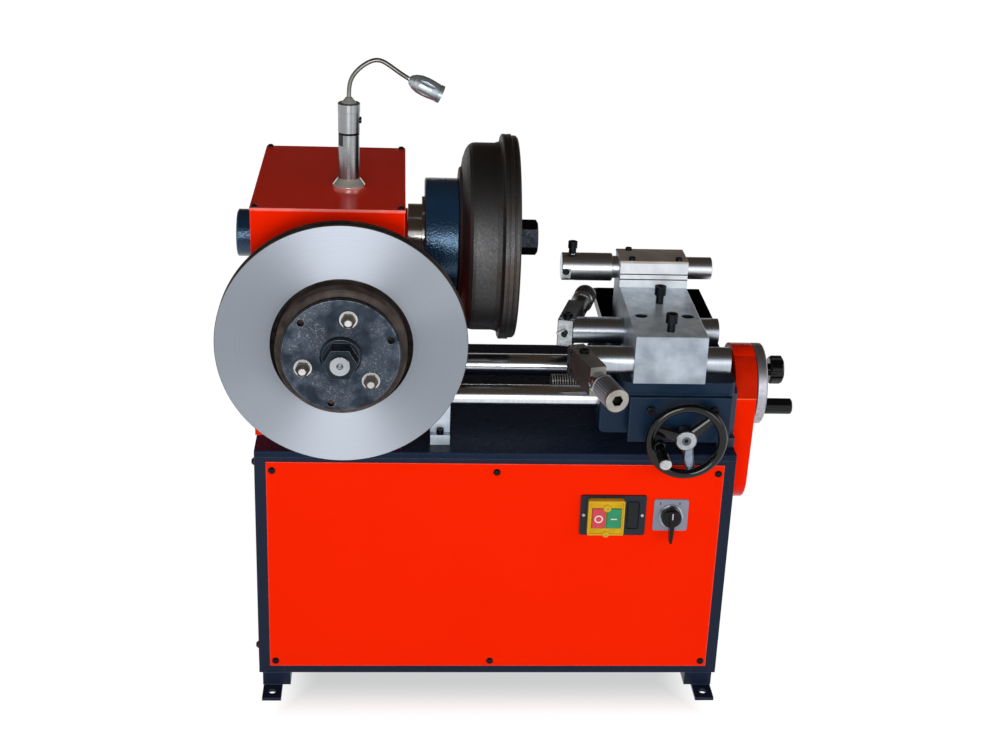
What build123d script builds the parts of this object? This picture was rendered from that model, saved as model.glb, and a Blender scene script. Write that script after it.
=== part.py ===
from build123d import *
import math
import os

os.makedirs("parts", exist_ok=True)

# Cabinet sizes in millimetres, origin on the floor under the middle of the cabinet
CABINET_X = 367.5
CABINET_Y = 220
FRAME_LOW = 28
FRAME_HIGH = 410
DECK = 420
TUBE = 40
TUBE_WALL = 3
SHEET = 2
PANEL_X = 350
PANEL_LOW = 41.6
PANEL_HIGH = 402.9
SIDE_PANEL_Y = 200
FOOT_X = 346
FOOT_Y = 239
FOOT_HOLE_R = 6

# Headstock box and the three shafts inside it
HEAD_LEFT = -370
HEAD_RIGHT = -145
HEAD_FRONT = -163
HEAD_BACK = 176
HEAD_TOP = 780
COVER = 4
HEAD_WALL = 20
HEAD_THIN = 12
SPINDLE_Y = 5
DRUM_Z = 690.5
DISC_X = -234
DISC_Z = 608
BELT_X = -180
MOTOR_Z = 164
FIT = 0.05

# Gears: module, tooth counts and the proportions of a tooth
SPUR_MODULE = 2.5
DRUM_TEETH = 44
PINION_TEETH = 22
BEVEL_MODULE = 3
BEVEL_TEETH = 24
ADDENDUM = 0.8
DEDENDUM = 1.15
BACKLASH = 0.22
FLANK = math.tan(math.radians(20))

# Slideways and screws
BAR_R = 17.5
BAR_Z = 486.5
BAR_FRONT_Y = -154
BAR_REAR_Y = -30
LEAD_Y = -92
LEAD_Z = 486
LEAD_R = 11
CROSS_X = 281
CROSS_Z = 459
CROSS_R = 7
SUPPORT_TOP = 511.5

# Tool post
BLOCK_LEFT = 200
BLOCK_RIGHT = 309
BLOCK_FRONT = -215
BLOCK_REAR = 62
BLOCK_LOW = 536
BLOCK_TOP = 611
TOOL_BAR_R = 21
TOOL_BAR_Z = 564
TOOL_BAR_FRONT_Y = -190
TOOL_BAR_REAR_Y = -70
BORING_Y = 30
BORING_Z = 634.5
BORING_R = 18
CLAMP_FRONT = -1
CLAMP_REAR = 61
CLAMP_SPLIT = 651.5
CLAMP_TOP = 655.5

# Twin cutter arms, measured along each arm from its inner end
ARM_TILT = 16
ARM_FRONT = (113.5, -184)
ARM_REAR = (107.3, -86.2)
ARM_HALF_W = 12.5
ARM_HALF_H = 22
TIP_LENGTH = 10
ARM_LENGTH = 92
QUILL_R = 8
SCREW_R = 5


def save(name, *solids):
    shape = solids[0] if len(solids) == 1 else Compound(children=list(solids))
    export_step(shape, f"parts/{name}.step")


def block(x0, x1, y0, y1, z0, z1):
    middle = Pos((x0 + x1) / 2, (y0 + y1) / 2, (z0 + z1) / 2)
    return middle * Box(x1 - x0, y1 - y0, z1 - z0)


def rod_x(x0, x1, y, z, radius):
    return Pos((x0 + x1) / 2, y, z) * Rot(0, 90, 0) * Cylinder(radius, x1 - x0)


def rod_y(y0, y1, x, z, radius):
    return Pos(x, (y0 + y1) / 2, z) * Rot(-90, 0, 0) * Cylinder(radius, y1 - y0)


def rod_z(z0, z1, x, y, radius):
    return Pos(x, y, (z0 + z1) / 2) * Cylinder(radius, z1 - z0)


def hex_x(x0, x1, y, z, corner):
    return Pos(x0, y, z) * Rot(0, 90, 0) * extrude(RegularPolygon(corner, 6), x1 - x0)


def hex_y(y0, y1, x, z, corner):
    return Pos(x, y0, z) * Rot(-90, 0, 0) * extrude(RegularPolygon(corner, 6), y1 - y0)


# A turned piece from its half outline of (distance along the axis, radius) points
def turned(profile):
    outline = Polyline(*[(radius, along) for along, radius in profile], close=True)
    return revolve(Plane.XZ * make_face(outline), Axis.Z)


def turned_x(profile, y, z):
    return Pos(0, y, z) * Rot(0, 90, 0) * turned(profile)


def turned_y(profile, x, z):
    return Pos(x, 0, z) * Rot(-90, 0, 0) * turned(profile)


def turned_z(profile, x, y):
    return Pos(x, y, 0) * turned(profile)


def ring_x(x0, x1, y, z, outer, inner):
    return turned_x([(x0, inner), (x0, outer), (x1, outer), (x1, inner)], y, z)


def ring_y(y0, y1, x, z, outer, inner):
    return turned_y([(y0, inner), (y0, outer), (y1, outer), (y1, inner)], x, z)


def polar(radius, angle):
    return (radius * math.cos(angle), radius * math.sin(angle))


# Straight-flanked gear tooth ring, one tooth centred on the start angle
def gear_face(module, teeth, start):
    pitch_r = module * teeth / 2
    tip_r = pitch_r + ADDENDUM * module
    root_r = pitch_r - DEDENDUM * module
    half = math.pi / (2 * teeth) * (1 - BACKLASH)
    tip_half = half - FLANK * (tip_r - pitch_r) / pitch_r
    root_half = half + FLANK * (pitch_r - root_r) / pitch_r
    points = []
    for tooth in range(teeth):
        centre = start + 2 * math.pi * tooth / teeth
        points.append(polar(root_r, centre - root_half))
        points.append(polar(tip_r, centre - tip_half))
        points.append(polar(tip_r, centre + tip_half))
        points.append(polar(root_r, centre + root_half))
    return make_face(Polyline(*points, close=True))


# Mitre bevel gear with its large end on the ground plane and its apex above
def bevel_solid(start):
    reach = BEVEL_MODULE * BEVEL_TEETH / 2
    width = reach / 3
    large = gear_face(BEVEL_MODULE, BEVEL_TEETH, start)
    small = gear_face(BEVEL_MODULE * (reach - width) / reach, BEVEL_TEETH, start)
    return loft([large, Pos(0, 0, width) * small], ruled=True)


# Outline wrapped round an upper and a lower circle on one vertical line
def wrapped_x(x0, x1, y, z_high, r_high, z_low, r_low):
    upper = Pos(y, z_high) * Circle(r_high)
    lower = Pos(y, z_low) * Circle(r_low)
    outline = make_hull(upper.edges() + lower.edges())
    return extrude(Plane.YZ.offset(x0) * outline, x1 - x0)


# V pulley: rim radius, groove depth and width across the groove
def pulley_x(x0, x1, y, z, rim, depth, bore):
    middle = (x0 + x1) / 2
    top = 7.5
    foot = 5.2
    profile = [(x0, bore), (x0, rim), (middle - top, rim), (middle - foot, rim - depth)]
    profile += [(middle + foot, rim - depth), (middle + top, rim), (x1, rim), (x1, bore)]
    return turned_x(profile, y, z)


# Cap screw standing on a face that looks up
def cap_screw_z(x, y, z, radius, height):
    socket = Pos(x, y, z + height / 2) * extrude(RegularPolygon(radius * 0.55, 6), height)
    return rod_z(z, z + height, x, y, radius) - socket


# Button head screw on a face that looks along -Y
def button_screw_y(x, z, y, radius, height):
    profile = [(0, 0), (0, radius), (height * 0.4, radius), (height, radius * 0.55), (height, 0)]
    return Pos(x, y, z) * Rot(90, 0, 0) * turned(profile)


# Button head screw on a side face, outward along +X or -X
def button_screw_x(y, z, x, side, radius, height):
    profile = [(0, 0), (0, radius), (height * 0.4, radius), (height, radius * 0.55), (height, 0)]
    return Pos(x, y, z) * Rot(0, 90 * side, 0) * turned(profile)


# Square tubes of the welded cabinet frame and the shelf that carries the motor
def tube(x0, x1, y0, y1, z0, z1, along):
    inset = [TUBE_WALL, TUBE_WALL, TUBE_WALL]
    inset[along] = 0
    dx, dy, dz = inset
    return block(x0, x1, y0, y1, z0, z1) - block(x0 + dx, x1 - dx, y0 + dy, y1 - dy, z0 + dz, z1 - dz)


frame = []
inner_x = CABINET_X - TUBE
inner_y = CABINET_Y - TUBE
for sx in (-1, 1):
    x_pair = sorted((sx * CABINET_X, sx * inner_x))
    for sy in (-1, 1):
        y_pair = sorted((sy * CABINET_Y, sy * inner_y))
        frame.append(tube(*x_pair, *y_pair, FRAME_LOW, FRAME_HIGH, 2))
for low in (FRAME_LOW, FRAME_HIGH - TUBE):
    for side in (-1, 1):
        y_pair = sorted((side * CABINET_Y, side * inner_y))
        frame.append(tube(-inner_x, inner_x, *y_pair, low, low + TUBE, 0))
        x_pair = sorted((side * CABINET_X, side * inner_x))
        frame.append(tube(*x_pair, -inner_y, inner_y, low, low + TUBE, 1))
SHELF_LOW = FRAME_LOW + TUBE
SHELF_TOP = SHELF_LOW + 6
frame.append(block(-inner_x - 8, inner_x + 8, -inner_y - 8, inner_y + 8, SHELF_LOW, SHELF_TOP)
             - block(-inner_x - 9, -inner_x, -inner_y - 9, -inner_y, SHELF_LOW, SHELF_TOP)
             - block(-inner_x - 9, -inner_x, inner_y, inner_y + 9, SHELF_LOW, SHELF_TOP)
             - block(inner_x, inner_x + 9, -inner_y - 9, -inner_y, SHELF_LOW, SHELF_TOP)
             - block(inner_x, inner_x + 9, inner_y, inner_y + 9, SHELF_LOW, SHELF_TOP))
save("cabinet_frame", *frame)

# Deck plate with the slot for the main belt
SLOT_HALF = 16
SLOT_FRONT = -62
SLOT_BACK = 72
deck = block(-CABINET_X, CABINET_X, -CABINET_Y, CABINET_Y, FRAME_HIGH, DECK)
deck = deck - block(BELT_X - SLOT_HALF, BELT_X + SLOT_HALF, SLOT_FRONT, SLOT_BACK, FRAME_HIGH, DECK)
deck = chamfer(deck.edges().filter_by(Axis.X).group_by(Axis.Z)[-1].sort_by(Axis.Y)[0], 1.5)
save("top_plate", deck)

# Sheet panels: front with switch openings, plain sides, louvred rear
SWITCH_LEFT = 131
SWITCH_RIGHT = 233
SWITCH_LOW = 283.5
SWITCH_HIGH = 352
SELECTOR_X = 272
SELECTOR_Z = 318.5
FEED_DRIVE_Z = 345
front_y = -CABINET_Y - SHEET
front = block(-PANEL_X, PANEL_X, front_y, -CABINET_Y, PANEL_LOW, PANEL_HIGH)
front = front - block(SWITCH_LEFT + 8, SWITCH_RIGHT - 8, front_y, -CABINET_Y,
                      SWITCH_LOW + 7, SWITCH_HIGH - 6)
front = front - rod_y(front_y, -CABINET_Y, SELECTOR_X, SELECTOR_Z, 11)
rear = block(-PANEL_X, PANEL_X, CABINET_Y, CABINET_Y + SHEET, PANEL_LOW, PANEL_HIGH)
for column in (-170, 170):
    for row in range(6):
        z = 250 + row * 18
        rear = rear - block(column - 70, column + 70, CABINET_Y, CABINET_Y + SHEET, z, z + 6)
left = block(-CABINET_X - SHEET, -CABINET_X, -SIDE_PANEL_Y, SIDE_PANEL_Y, PANEL_LOW, PANEL_HIGH)
right = block(CABINET_X, CABINET_X + SHEET, -SIDE_PANEL_Y, SIDE_PANEL_Y, PANEL_LOW, PANEL_HIGH)
right = right - rod_x(CABINET_X, CABINET_X + SHEET, LEAD_Y, FEED_DRIVE_Z, 14)
save("cabinet_panels", front, rear, left, right)

# Feet: a welded stub under each corner with a bolt-down tab
feet = []
for sx in (-1, 1):
    stub_x = sorted((sx * 318, sx * 362))
    tab_x = sorted((sx * (FOOT_X - 15), sx * (FOOT_X + 15)))
    for sy in (-1, 1):
        stub_y = sorted((sy * 176, sy * CABINET_Y))
        tab_y = sorted((sy * 176, sy * 258))
        foot = block(*stub_x, *stub_y, 5, FRAME_LOW) + block(*tab_x, *tab_y, 0, 5)
        feet.append(foot - rod_z(0, 5, sx * FOOT_X, sy * FOOT_Y, FOOT_HOLE_R))
save("mounting_feet", *feet)

# Headstock: a box with bearing seats, a tube seat for the disc spindle and a belt slot
HEAD_FLOOR = DECK + HEAD_THIN
DRUM_BEARING_R = 34
DISC_BEARING_R = 40
COUNTER_BEARING_R = 26
DISC_TUBE_R = 55
DISC_TUBE_BACK = -65
BOSS_R = 43
BOSS_X = -140
room = block(HEAD_LEFT + HEAD_WALL, HEAD_RIGHT - HEAD_WALL, HEAD_FRONT + HEAD_WALL, HEAD_BACK - HEAD_THIN,
             HEAD_FLOOR, HEAD_TOP)
housing = block(HEAD_LEFT, HEAD_RIGHT, HEAD_FRONT, HEAD_BACK, DECK, HEAD_TOP) - room
housing = housing + rod_y(HEAD_FRONT, DISC_TUBE_BACK, DISC_X, DISC_Z, DISC_TUBE_R)
housing = housing + rod_x(HEAD_RIGHT, BOSS_X, SPINDLE_Y, DRUM_Z, BOSS_R)
LUG_X = 16
LUG_Y = 14
LUG_LOW = 740
for x in (HEAD_LEFT + HEAD_WALL, HEAD_RIGHT - HEAD_WALL - LUG_X):
    for y in (HEAD_FRONT + HEAD_WALL, HEAD_BACK - HEAD_THIN - LUG_Y):
        housing = housing + block(x, x + LUG_X, y, y + LUG_Y, LUG_LOW, HEAD_TOP)
housing = housing - rod_x(HEAD_LEFT, HEAD_LEFT + HEAD_WALL, SPINDLE_Y, DRUM_Z, DRUM_BEARING_R + FIT)
housing = housing - rod_x(HEAD_RIGHT - HEAD_WALL, HEAD_RIGHT - 1, SPINDLE_Y, DRUM_Z, DRUM_BEARING_R + FIT)
housing = housing - rod_x(HEAD_RIGHT - 1, BOSS_X, SPINDLE_Y, DRUM_Z, 23.5)
housing = housing - rod_y(HEAD_FRONT, DISC_TUBE_BACK, DISC_X, DISC_Z, DISC_BEARING_R + FIT)
counter_left = HEAD_LEFT + HEAD_WALL - 15
counter_right = HEAD_RIGHT - HEAD_WALL + 15
housing = housing - rod_x(counter_left, HEAD_LEFT + HEAD_WALL, SPINDLE_Y, DISC_Z, COUNTER_BEARING_R + FIT)
housing = housing - rod_x(HEAD_RIGHT - HEAD_WALL, counter_right, SPINDLE_Y, DISC_Z, COUNTER_BEARING_R + FIT)
housing = housing - block(BELT_X - 15, BELT_X + 15, SLOT_FRONT + 2, SLOT_BACK - 2, DECK, HEAD_FLOOR)
lid = block(HEAD_LEFT - 1, HEAD_RIGHT + 1, HEAD_FRONT - 1, HEAD_BACK + 1, HEAD_TOP, HEAD_TOP + COVER)
lid = fillet(lid.edges().group_by(Axis.Z)[-1], 1.2)
SCREW_INSET = 11
LID_SCREW_R = 3
LID_SCREW_LOW = 766
lid_top = HEAD_TOP + COVER
lid_screws = []
for x in (HEAD_LEFT + SCREW_INSET, HEAD_RIGHT - SCREW_INSET):
    for y in (HEAD_FRONT + SCREW_INSET, HEAD_BACK - SCREW_INSET):
        lid_screws.append((x, y))
for x, y in lid_screws:
    housing = housing - rod_z(LID_SCREW_LOW, HEAD_TOP, x, y, LID_SCREW_R)
    lid = lid - rod_z(HEAD_TOP, lid_top, x, y, LID_SCREW_R)
    lid = lid - Pos(x, y, lid_top - LID_SCREW_R / 2) * Cone(LID_SCREW_R, 2 * LID_SCREW_R, LID_SCREW_R)
save("headstock_housing", housing)
save("headstock_cover", lid)

# Screws that hold the covers, panels and bar supports
screws = []
for x in (-341, 0, 341):
    for z in (389, 51.5):
        screws.append(button_screw_y(x, z, front_y, 5.5, 3.5))
for side in (-1, 1):
    for y in (-185, 185):
        for z in (58, 386):
            screws.append(button_screw_x(y, z, side * (CABINET_X + SHEET), side, 6, 5))
shank = LID_SCREW_R - FIT
profile = [(LID_SCREW_LOW + 1, 0), (LID_SCREW_LOW + 1, shank), (lid_top - LID_SCREW_R, shank)]
profile += [(lid_top, shank + LID_SCREW_R), (lid_top, 0)]
for x, y in lid_screws:
    socket = Pos(x, y, lid_top - 2) * extrude(RegularPolygon(2.3, 6), 2)
    screws.append(turned_z(profile, x, y) - socket)
for x in (-87, 354):
    for y in (-185.5, 1.5):
        screws.append(cap_screw_z(x, y, 436, 5.5, 8))
save("machine_screws", *screws)

# Bearing caps: left end of the drum spindle, front of the disc spindle
profile = [(-404, 0), (-404, 35), (-402, 37), (HEAD_LEFT, 37), (HEAD_LEFT, 25), (-388, 25), (-388, 0)]
left_cap = turned_x(profile, SPINDLE_Y, DRUM_Z)
front_cap = ring_y(-180, HEAD_FRONT, DISC_X, DISC_Z, 58, 23.5)
save("bearing_caps", left_cap, front_cap)

# Six ball bearings drawn as plain rings
DRUM_SHAFT_R = 22.5
COUNTER_SHAFT_R = 12.5
bearings = []
for x0, x1 in ((HEAD_LEFT + 1, HEAD_LEFT + HEAD_WALL - 1), (HEAD_RIGHT - HEAD_WALL + 1, HEAD_RIGHT - 2)):
    bearings.append(ring_x(x0, x1, SPINDLE_Y, DRUM_Z, DRUM_BEARING_R, DRUM_SHAFT_R))
for x0 in (counter_left + 0.5, HEAD_RIGHT - HEAD_WALL + 0.5):
    bearings.append(ring_x(x0, x0 + 14, SPINDLE_Y, DISC_Z, COUNTER_BEARING_R, COUNTER_SHAFT_R))
for y0 in (-162, -86):
    bearings.append(ring_y(y0, y0 + 20, DISC_X, DISC_Z, DISC_BEARING_R, DRUM_SHAFT_R))
save("spindle_bearings", *bearings)

# Main motor on the shelf, with feet and a terminal box
MOTOR_R = 85
profile = [(-132, 0), (-132, 40), (-120, 78), (-112, MOTOR_R), (80, MOTOR_R), (84, 78), (108, 74), (110, 0)]
motor = turned_x(profile, SPINDLE_Y, MOTOR_Z)
motor = motor + block(-80, 60, SPINDLE_Y - 75, SPINDLE_Y + 75, SHELF_TOP, SHELF_TOP + 12)
motor = motor + block(-70, 50, SPINDLE_Y - 55, SPINDLE_Y + 55, SHELF_TOP + 12, MOTOR_Z - 50)
motor = motor + block(-60, 20, SPINDLE_Y - 40, SPINDLE_Y + 40, MOTOR_Z + 60, MOTOR_Z + 112)
motor = motor - rod_x(-132, -90, SPINDLE_Y, MOTOR_Z, 12)
save("main_motor", motor)

# Main drive belt and feed belt
COUNTER_PULLEY_R = 52
MOTOR_PULLEY_R = 30
GROOVE = 8
FEED_PULLEY_R = 50
FEED_DRIVE_R = 20
FEED_GROOVE = 7
FEED_BELT_X = 386
BELT_HALF = 4.8
BELT_IN = 0.6
BELT_OUT = 7.4


# Belt loop lying in the grooves of two pulleys
def belt_x(x, y, z_high, floor_high, z_low, floor_low):
    x0 = x - BELT_HALF
    x1 = x + BELT_HALF
    outer = wrapped_x(x0, x1, y, z_high, floor_high + BELT_OUT, z_low, floor_low + BELT_OUT)
    return outer - wrapped_x(x0, x1, y, z_high, floor_high + BELT_IN, z_low, floor_low + BELT_IN)


main_belt = belt_x(BELT_X, SPINDLE_Y, DISC_Z, COUNTER_PULLEY_R - GROOVE, MOTOR_Z, MOTOR_PULLEY_R - GROOVE)
feed_belt = belt_x(FEED_BELT_X, LEAD_Y, LEAD_Z, FEED_PULLEY_R - FEED_GROOVE,
                   FEED_DRIVE_Z, FEED_DRIVE_R - FEED_GROOVE)
save("drive_belts", main_belt, feed_belt)

# Two round guide bars in two end supports
SUPPORT_LEFT = (-102, -72)
SUPPORT_RIGHT = (340, 368)
bars = [rod_x(SUPPORT_LEFT[0], SUPPORT_RIGHT[1], y, BAR_Z, BAR_R) for y in (BAR_FRONT_Y, BAR_REAR_Y)]
save("guide_bars", *bars)
LEAD_END_R = 10
supports = []
for x0, x1 in (SUPPORT_LEFT, SUPPORT_RIGHT):
    support = block(x0, x1, -179, -5, 436, SUPPORT_TOP)
    support = chamfer(support.edges().filter_by(Axis.X).group_by(Axis.Z)[-1], 6)
    support = support + block(x0, x1, -192, 8, DECK, 436)
    for y in (BAR_FRONT_Y, BAR_REAR_Y):
        support = support - rod_x(x0, x1, y, BAR_Z, BAR_R + FIT)
    supports.append(support)
supports[1] = supports[1] - rod_x(*SUPPORT_RIGHT, LEAD_Y, LEAD_Z, LEAD_END_R)
save("bar_supports", *supports)

# Feed cover: a folded guard round the two feed pulleys, closed by a back plate
GUARD_IN = 370
GUARD_OUT = 405
GUARD_WALL = 2.5
GUARD_R = 64
GUARD_LOW_R = 54
guard = wrapped_x(GUARD_IN, GUARD_OUT, LEAD_Y, LEAD_Z, GUARD_R, FEED_DRIVE_Z, GUARD_LOW_R)
guard = fillet(guard.faces().sort_by(Axis.X)[-1].edges(), 3)
guard = guard - wrapped_x(GUARD_IN, GUARD_OUT - GUARD_WALL, LEAD_Y, LEAD_Z, GUARD_R - GUARD_WALL,
                          FEED_DRIVE_Z, GUARD_LOW_R - GUARD_WALL)
guard = guard - rod_x(GUARD_OUT - GUARD_WALL, GUARD_OUT, LEAD_Y, LEAD_Z, 13)
back = wrapped_x(GUARD_IN, GUARD_IN + 2, LEAD_Y, LEAD_Z, GUARD_R - GUARD_WALL - 0.1,
                 FEED_DRIVE_Z, GUARD_LOW_R - GUARD_WALL - 0.1)
back = back - rod_x(GUARD_IN, GUARD_IN + 2, LEAD_Y, LEAD_Z, 13)
back = back - rod_x(GUARD_IN, GUARD_IN + 2, LEAD_Y, FEED_DRIVE_Z, 13)
save("feed_cover", guard, back)

# Feed gear motor hung under the right top rail
gearbox = block(262, 362, LEAD_Y - 40, LEAD_Y + 40, 302, FRAME_HIGH - TUBE)
gearbox = gearbox + rod_x(150, 262, LEAD_Y, 338, 34)
gearbox = gearbox - rod_x(326, 362, LEAD_Y, FEED_DRIVE_Z, 10)
save("feed_gearmotor", gearbox)

# Switch box with its yellow button frame, and the selector plate
SWITCH_FACE = front_y - 4
SWITCH_FRAME_FACE = SWITCH_FACE - 8
STOP_BUTTON = (148.5, 169)
START_BUTTON = (171, 193.5)
BUTTON_LOW = 300
BUTTON_HIGH = 334
GAP = 0.4
box = block(SWITCH_LEFT, SWITCH_RIGHT, SWITCH_FACE, front_y, SWITCH_LOW, SWITCH_HIGH)
box = fillet(box.edges().filter_by(Axis.Y), 4)
box = box + block(SWITCH_LEFT + 8.5, SWITCH_RIGHT - 8.5, front_y, -176, SWITCH_LOW + 7.5, SWITCH_HIGH - 6.5)
yellow = block(142, 198.5, SWITCH_FRAME_FACE, SWITCH_FACE, 288.5, 347.5)
yellow = fillet(yellow.edges().filter_by(Axis.Y), 4)
yellow = chamfer(yellow.faces().sort_by(Axis.Y)[0].edges(), 1)
for x0, x1 in (STOP_BUTTON, START_BUTTON):
    well = block(x0 - GAP, x1 + GAP, SWITCH_FRAME_FACE, -215, BUTTON_LOW - GAP, BUTTON_HIGH + GAP)
    yellow = yellow - well
    box = box - well
save("switch_box", box, yellow)
PLATE_HALF = 27
plate = block(SELECTOR_X - PLATE_HALF, SELECTOR_X + PLATE_HALF, front_y - 3, front_y,
              SELECTOR_Z - PLATE_HALF, SELECTOR_Z + PLATE_HALF)
plate = fillet(plate.edges().filter_by(Axis.Y), 4)
plate = plate + ring_y(front_y - 7, front_y - 3, SELECTOR_X, SELECTOR_Z, 19, 8.1)
plate = plate + rod_y(front_y, -190, SELECTOR_X, SELECTOR_Z, 10.5)
plate = plate - rod_y(front_y - 7, -195, SELECTOR_X, SELECTOR_Z, 8.1)
save("selector_plate", plate)

# Drum spindle with its polished collar and thin driving flange
NOSE_R = 18
COLLAR_X = -139.5
FLANGE_X = -118
ADAPTER_X = -114
DRUM_WEB_X = -61
NUT_X = 32
NUT_END = 65
profile = [(-385, 0), (-385, DRUM_SHAFT_R - FIT), (COLLAR_X, DRUM_SHAFT_R - FIT), (COLLAR_X, 50)]
profile += [(FLANGE_X, 50), (FLANGE_X, 62), (ADAPTER_X, 62), (ADAPTER_X, NOSE_R), (62, NOSE_R)]
profile += [(64, NOSE_R - 2), (64, 0)]
save("drum_spindle", turned_x(profile, SPINDLE_Y, DRUM_Z))

GEAR_X = -338
GEAR_WIDTH = 22
wheel = extrude(gear_face(SPUR_MODULE, DRUM_TEETH, 0), GEAR_WIDTH) - Cylinder(DRUM_SHAFT_R, 3 * GEAR_WIDTH)
save("drum_gear", Pos(GEAR_X, SPINDLE_Y, DRUM_Z) * Rot(0, 90, 0) * wheel)

profile = [(ADAPTER_X, NOSE_R + FIT), (ADAPTER_X, 89), (ADAPTER_X + 2, 91), (DRUM_WEB_X - 2, 91)]
profile += [(DRUM_WEB_X, 89), (DRUM_WEB_X, 40), (DRUM_WEB_X + 11, 40), (DRUM_WEB_X + 11, NOSE_R + FIT)]
save("drum_adapter", turned_x(profile, SPINDLE_Y, DRUM_Z))

# Brake drum: stepped back, rounded shoulder, stiffening lip with two grooves, bored inside
DRUM_BORE = 138
DRUM_MOUTH = 29
BARREL_R = 147
LIP_R = 161
profile = [(DRUM_WEB_X, 40.05), (DRUM_WEB_X, 107), (-60, 108), (-57, 110), (-55, 124), (-51, 136)]
profile += [(-47, 142.5), (-42, 146), (-37, BARREL_R), (-6, BARREL_R), (1, 149), (3, 151), (4, 159)]
profile += [(5.5, LIP_R), (10, LIP_R), (10.5, LIP_R - 1), (12, LIP_R - 1), (12.5, LIP_R), (18.5, LIP_R)]
profile += [(19.5, LIP_R - 2), (21, LIP_R - 2.6), (22, LIP_R - 2), (26.5, LIP_R - 2.5)]
profile += [(DRUM_MOUTH, LIP_R - 5)]
profile += [(DRUM_MOUTH, DRUM_BORE + 2), (26, DRUM_BORE), (-38, DRUM_BORE), (-44, 135), (-48, 127)]
profile += [(-48, 40.05)]
drum = turned_x(profile, SPINDLE_Y, DRUM_Z)
for hole in range(5):
    dy, dz = polar(62, math.radians(90 + 72 * hole))
    drum = drum - rod_x(-62, -47, SPINDLE_Y + dy, DRUM_Z + dz, 7)
save("brake_drum", drum)

# Clamping sleeve and hexagon nut that press the drum on to its adapter
profile = [(-48, NOSE_R + FIT), (-48, 52), (-40, 52), (-34, 26), (NUT_X, 26), (NUT_X, NOSE_R + FIT)]
sleeve = turned_x(profile, SPINDLE_Y, DRUM_Z)
NUT_R = 28
NUT_TURN = 46
profile = [(NUT_X, NOSE_R + FIT), (NUT_X, NUT_R), (NUT_END - 3, NUT_R), (NUT_END, NUT_R - 4.5)]
profile += [(NUT_END, NOSE_R + FIT)]
nut = hex_x(NUT_X, NUT_END, 0, 0, NUT_R) & turned_x(profile, 0, 0)
save("drum_nut", sleeve, Pos(0, SPINDLE_Y, DRUM_Z) * Rot(NUT_TURN, 0, 0) * nut)

# Countershaft with a spur pinion and a bevel pinion cut on it
profile = [(-364, 0), (-364, COUNTER_SHAFT_R - FIT), (-349, COUNTER_SHAFT_R - FIT), (-349, 14), (-166, 14)]
profile += [(-166, COUNTER_SHAFT_R - FIT), (-151, COUNTER_SHAFT_R - FIT), (-151, 0)]
shaft = turned_x(profile, SPINDLE_Y, DISC_Z)
pinion = extrude(gear_face(SPUR_MODULE, PINION_TEETH, math.pi / PINION_TEETH), GEAR_WIDTH)
shaft = shaft + Pos(GEAR_X, SPINDLE_Y, DISC_Z) * Rot(0, 90, 0) * pinion
BEVEL_REACH = BEVEL_MODULE * BEVEL_TEETH / 2
bevel_x = DISC_X - BEVEL_REACH
shaft = shaft + Pos(bevel_x, SPINDLE_Y, DISC_Z) * Rot(0, 90, 0) * bevel_solid(0)
shaft = shaft + rod_x(bevel_x - 20, bevel_x, SPINDLE_Y, DISC_Z, 24)
save("countershaft", shaft)
counter_pulley = pulley_x(BELT_X - 12, BELT_X + 12, SPINDLE_Y, DISC_Z, COUNTER_PULLEY_R, GROOVE, 14 + FIT)
save("counter_pulley", counter_pulley)

# Disc spindle with its rear clamping flange
DISC_SEAT_R = 14
HAT_BACK = -277
HAT_FRONT = -285
FLANGE_FRONT = -295
STUD_R = 6
STUD_RING = 57
STUD_START = 79
profile = [(-335, 0), (-335, 14), (-333, 15), (FLANGE_FRONT, 15), (FLANGE_FRONT, NOSE_R), (HAT_BACK, NOSE_R)]
profile += [(HAT_BACK, 82), (-262, 82), (-262, 32), (-181, 32), (-181, DRUM_SHAFT_R - FIT)]
profile += [(-56, DRUM_SHAFT_R - FIT), (-56, DISC_SEAT_R), (-18, DISC_SEAT_R), (-18, 0)]
disc_spindle = turned_y(profile, DISC_X, DISC_Z)
disc_spindle = disc_spindle - turned_y([(-335, 0), (-335, 5), (-330, 1.5), (-330, 0)], DISC_X, DISC_Z)
stud_places = []
for stud in range(3):
    dx, dz = polar(STUD_RING, math.radians(STUD_START + 120 * stud))
    stud_places.append((DISC_X + dx, DISC_Z + dz))
for x, z in stud_places:
    disc_spindle = disc_spindle - rod_y(HAT_BACK, -262, x, z, STUD_R + FIT)
save("disc_spindle", disc_spindle)

bevel_y = SPINDLE_Y - BEVEL_REACH
bevel = Pos(DISC_X, bevel_y, DISC_Z) * Rot(-90, 0, 0) * bevel_solid(math.pi / BEVEL_TEETH)
bevel = bevel + rod_y(bevel_y - 24, bevel_y, DISC_X, DISC_Z, 25)
bevel = bevel - rod_y(bevel_y - 24, bevel_y + 20, DISC_X, DISC_Z, DISC_SEAT_R + FIT)
save("bevel_gear", bevel)

# Vented brake disc: hat, rear plate, front plate and the vanes between
DISC_R = 183
RING_IN = 103
DISC_BACK = -236
DISC_FACE = -260
profile = [(HAT_FRONT, NOSE_R + 14), (HAT_FRONT, 92), (HAT_FRONT + 3, 95), (-244, 95), (-244, DISC_R - 1)]
profile += [(-243, DISC_R), (-237, DISC_R), (DISC_BACK, DISC_R - 1), (DISC_BACK, 87), (HAT_BACK, 87)]
profile += [(HAT_BACK, NOSE_R + 14)]
disc = turned_y(profile, DISC_X, DISC_Z)
face_plate = [(DISC_FACE, RING_IN), (DISC_FACE, DISC_R - 1), (DISC_FACE + 1, DISC_R), (-253, DISC_R)]
face_plate += [(-252, DISC_R - 1), (-252, RING_IN)]
disc = disc + turned_y(face_plate, DISC_X, DISC_Z)
VANES = 36
vane = Pos((RING_IN + DISC_R) / 2 + 1, 0, 0) * Box(DISC_R - RING_IN - 6, 8, 6)
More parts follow.
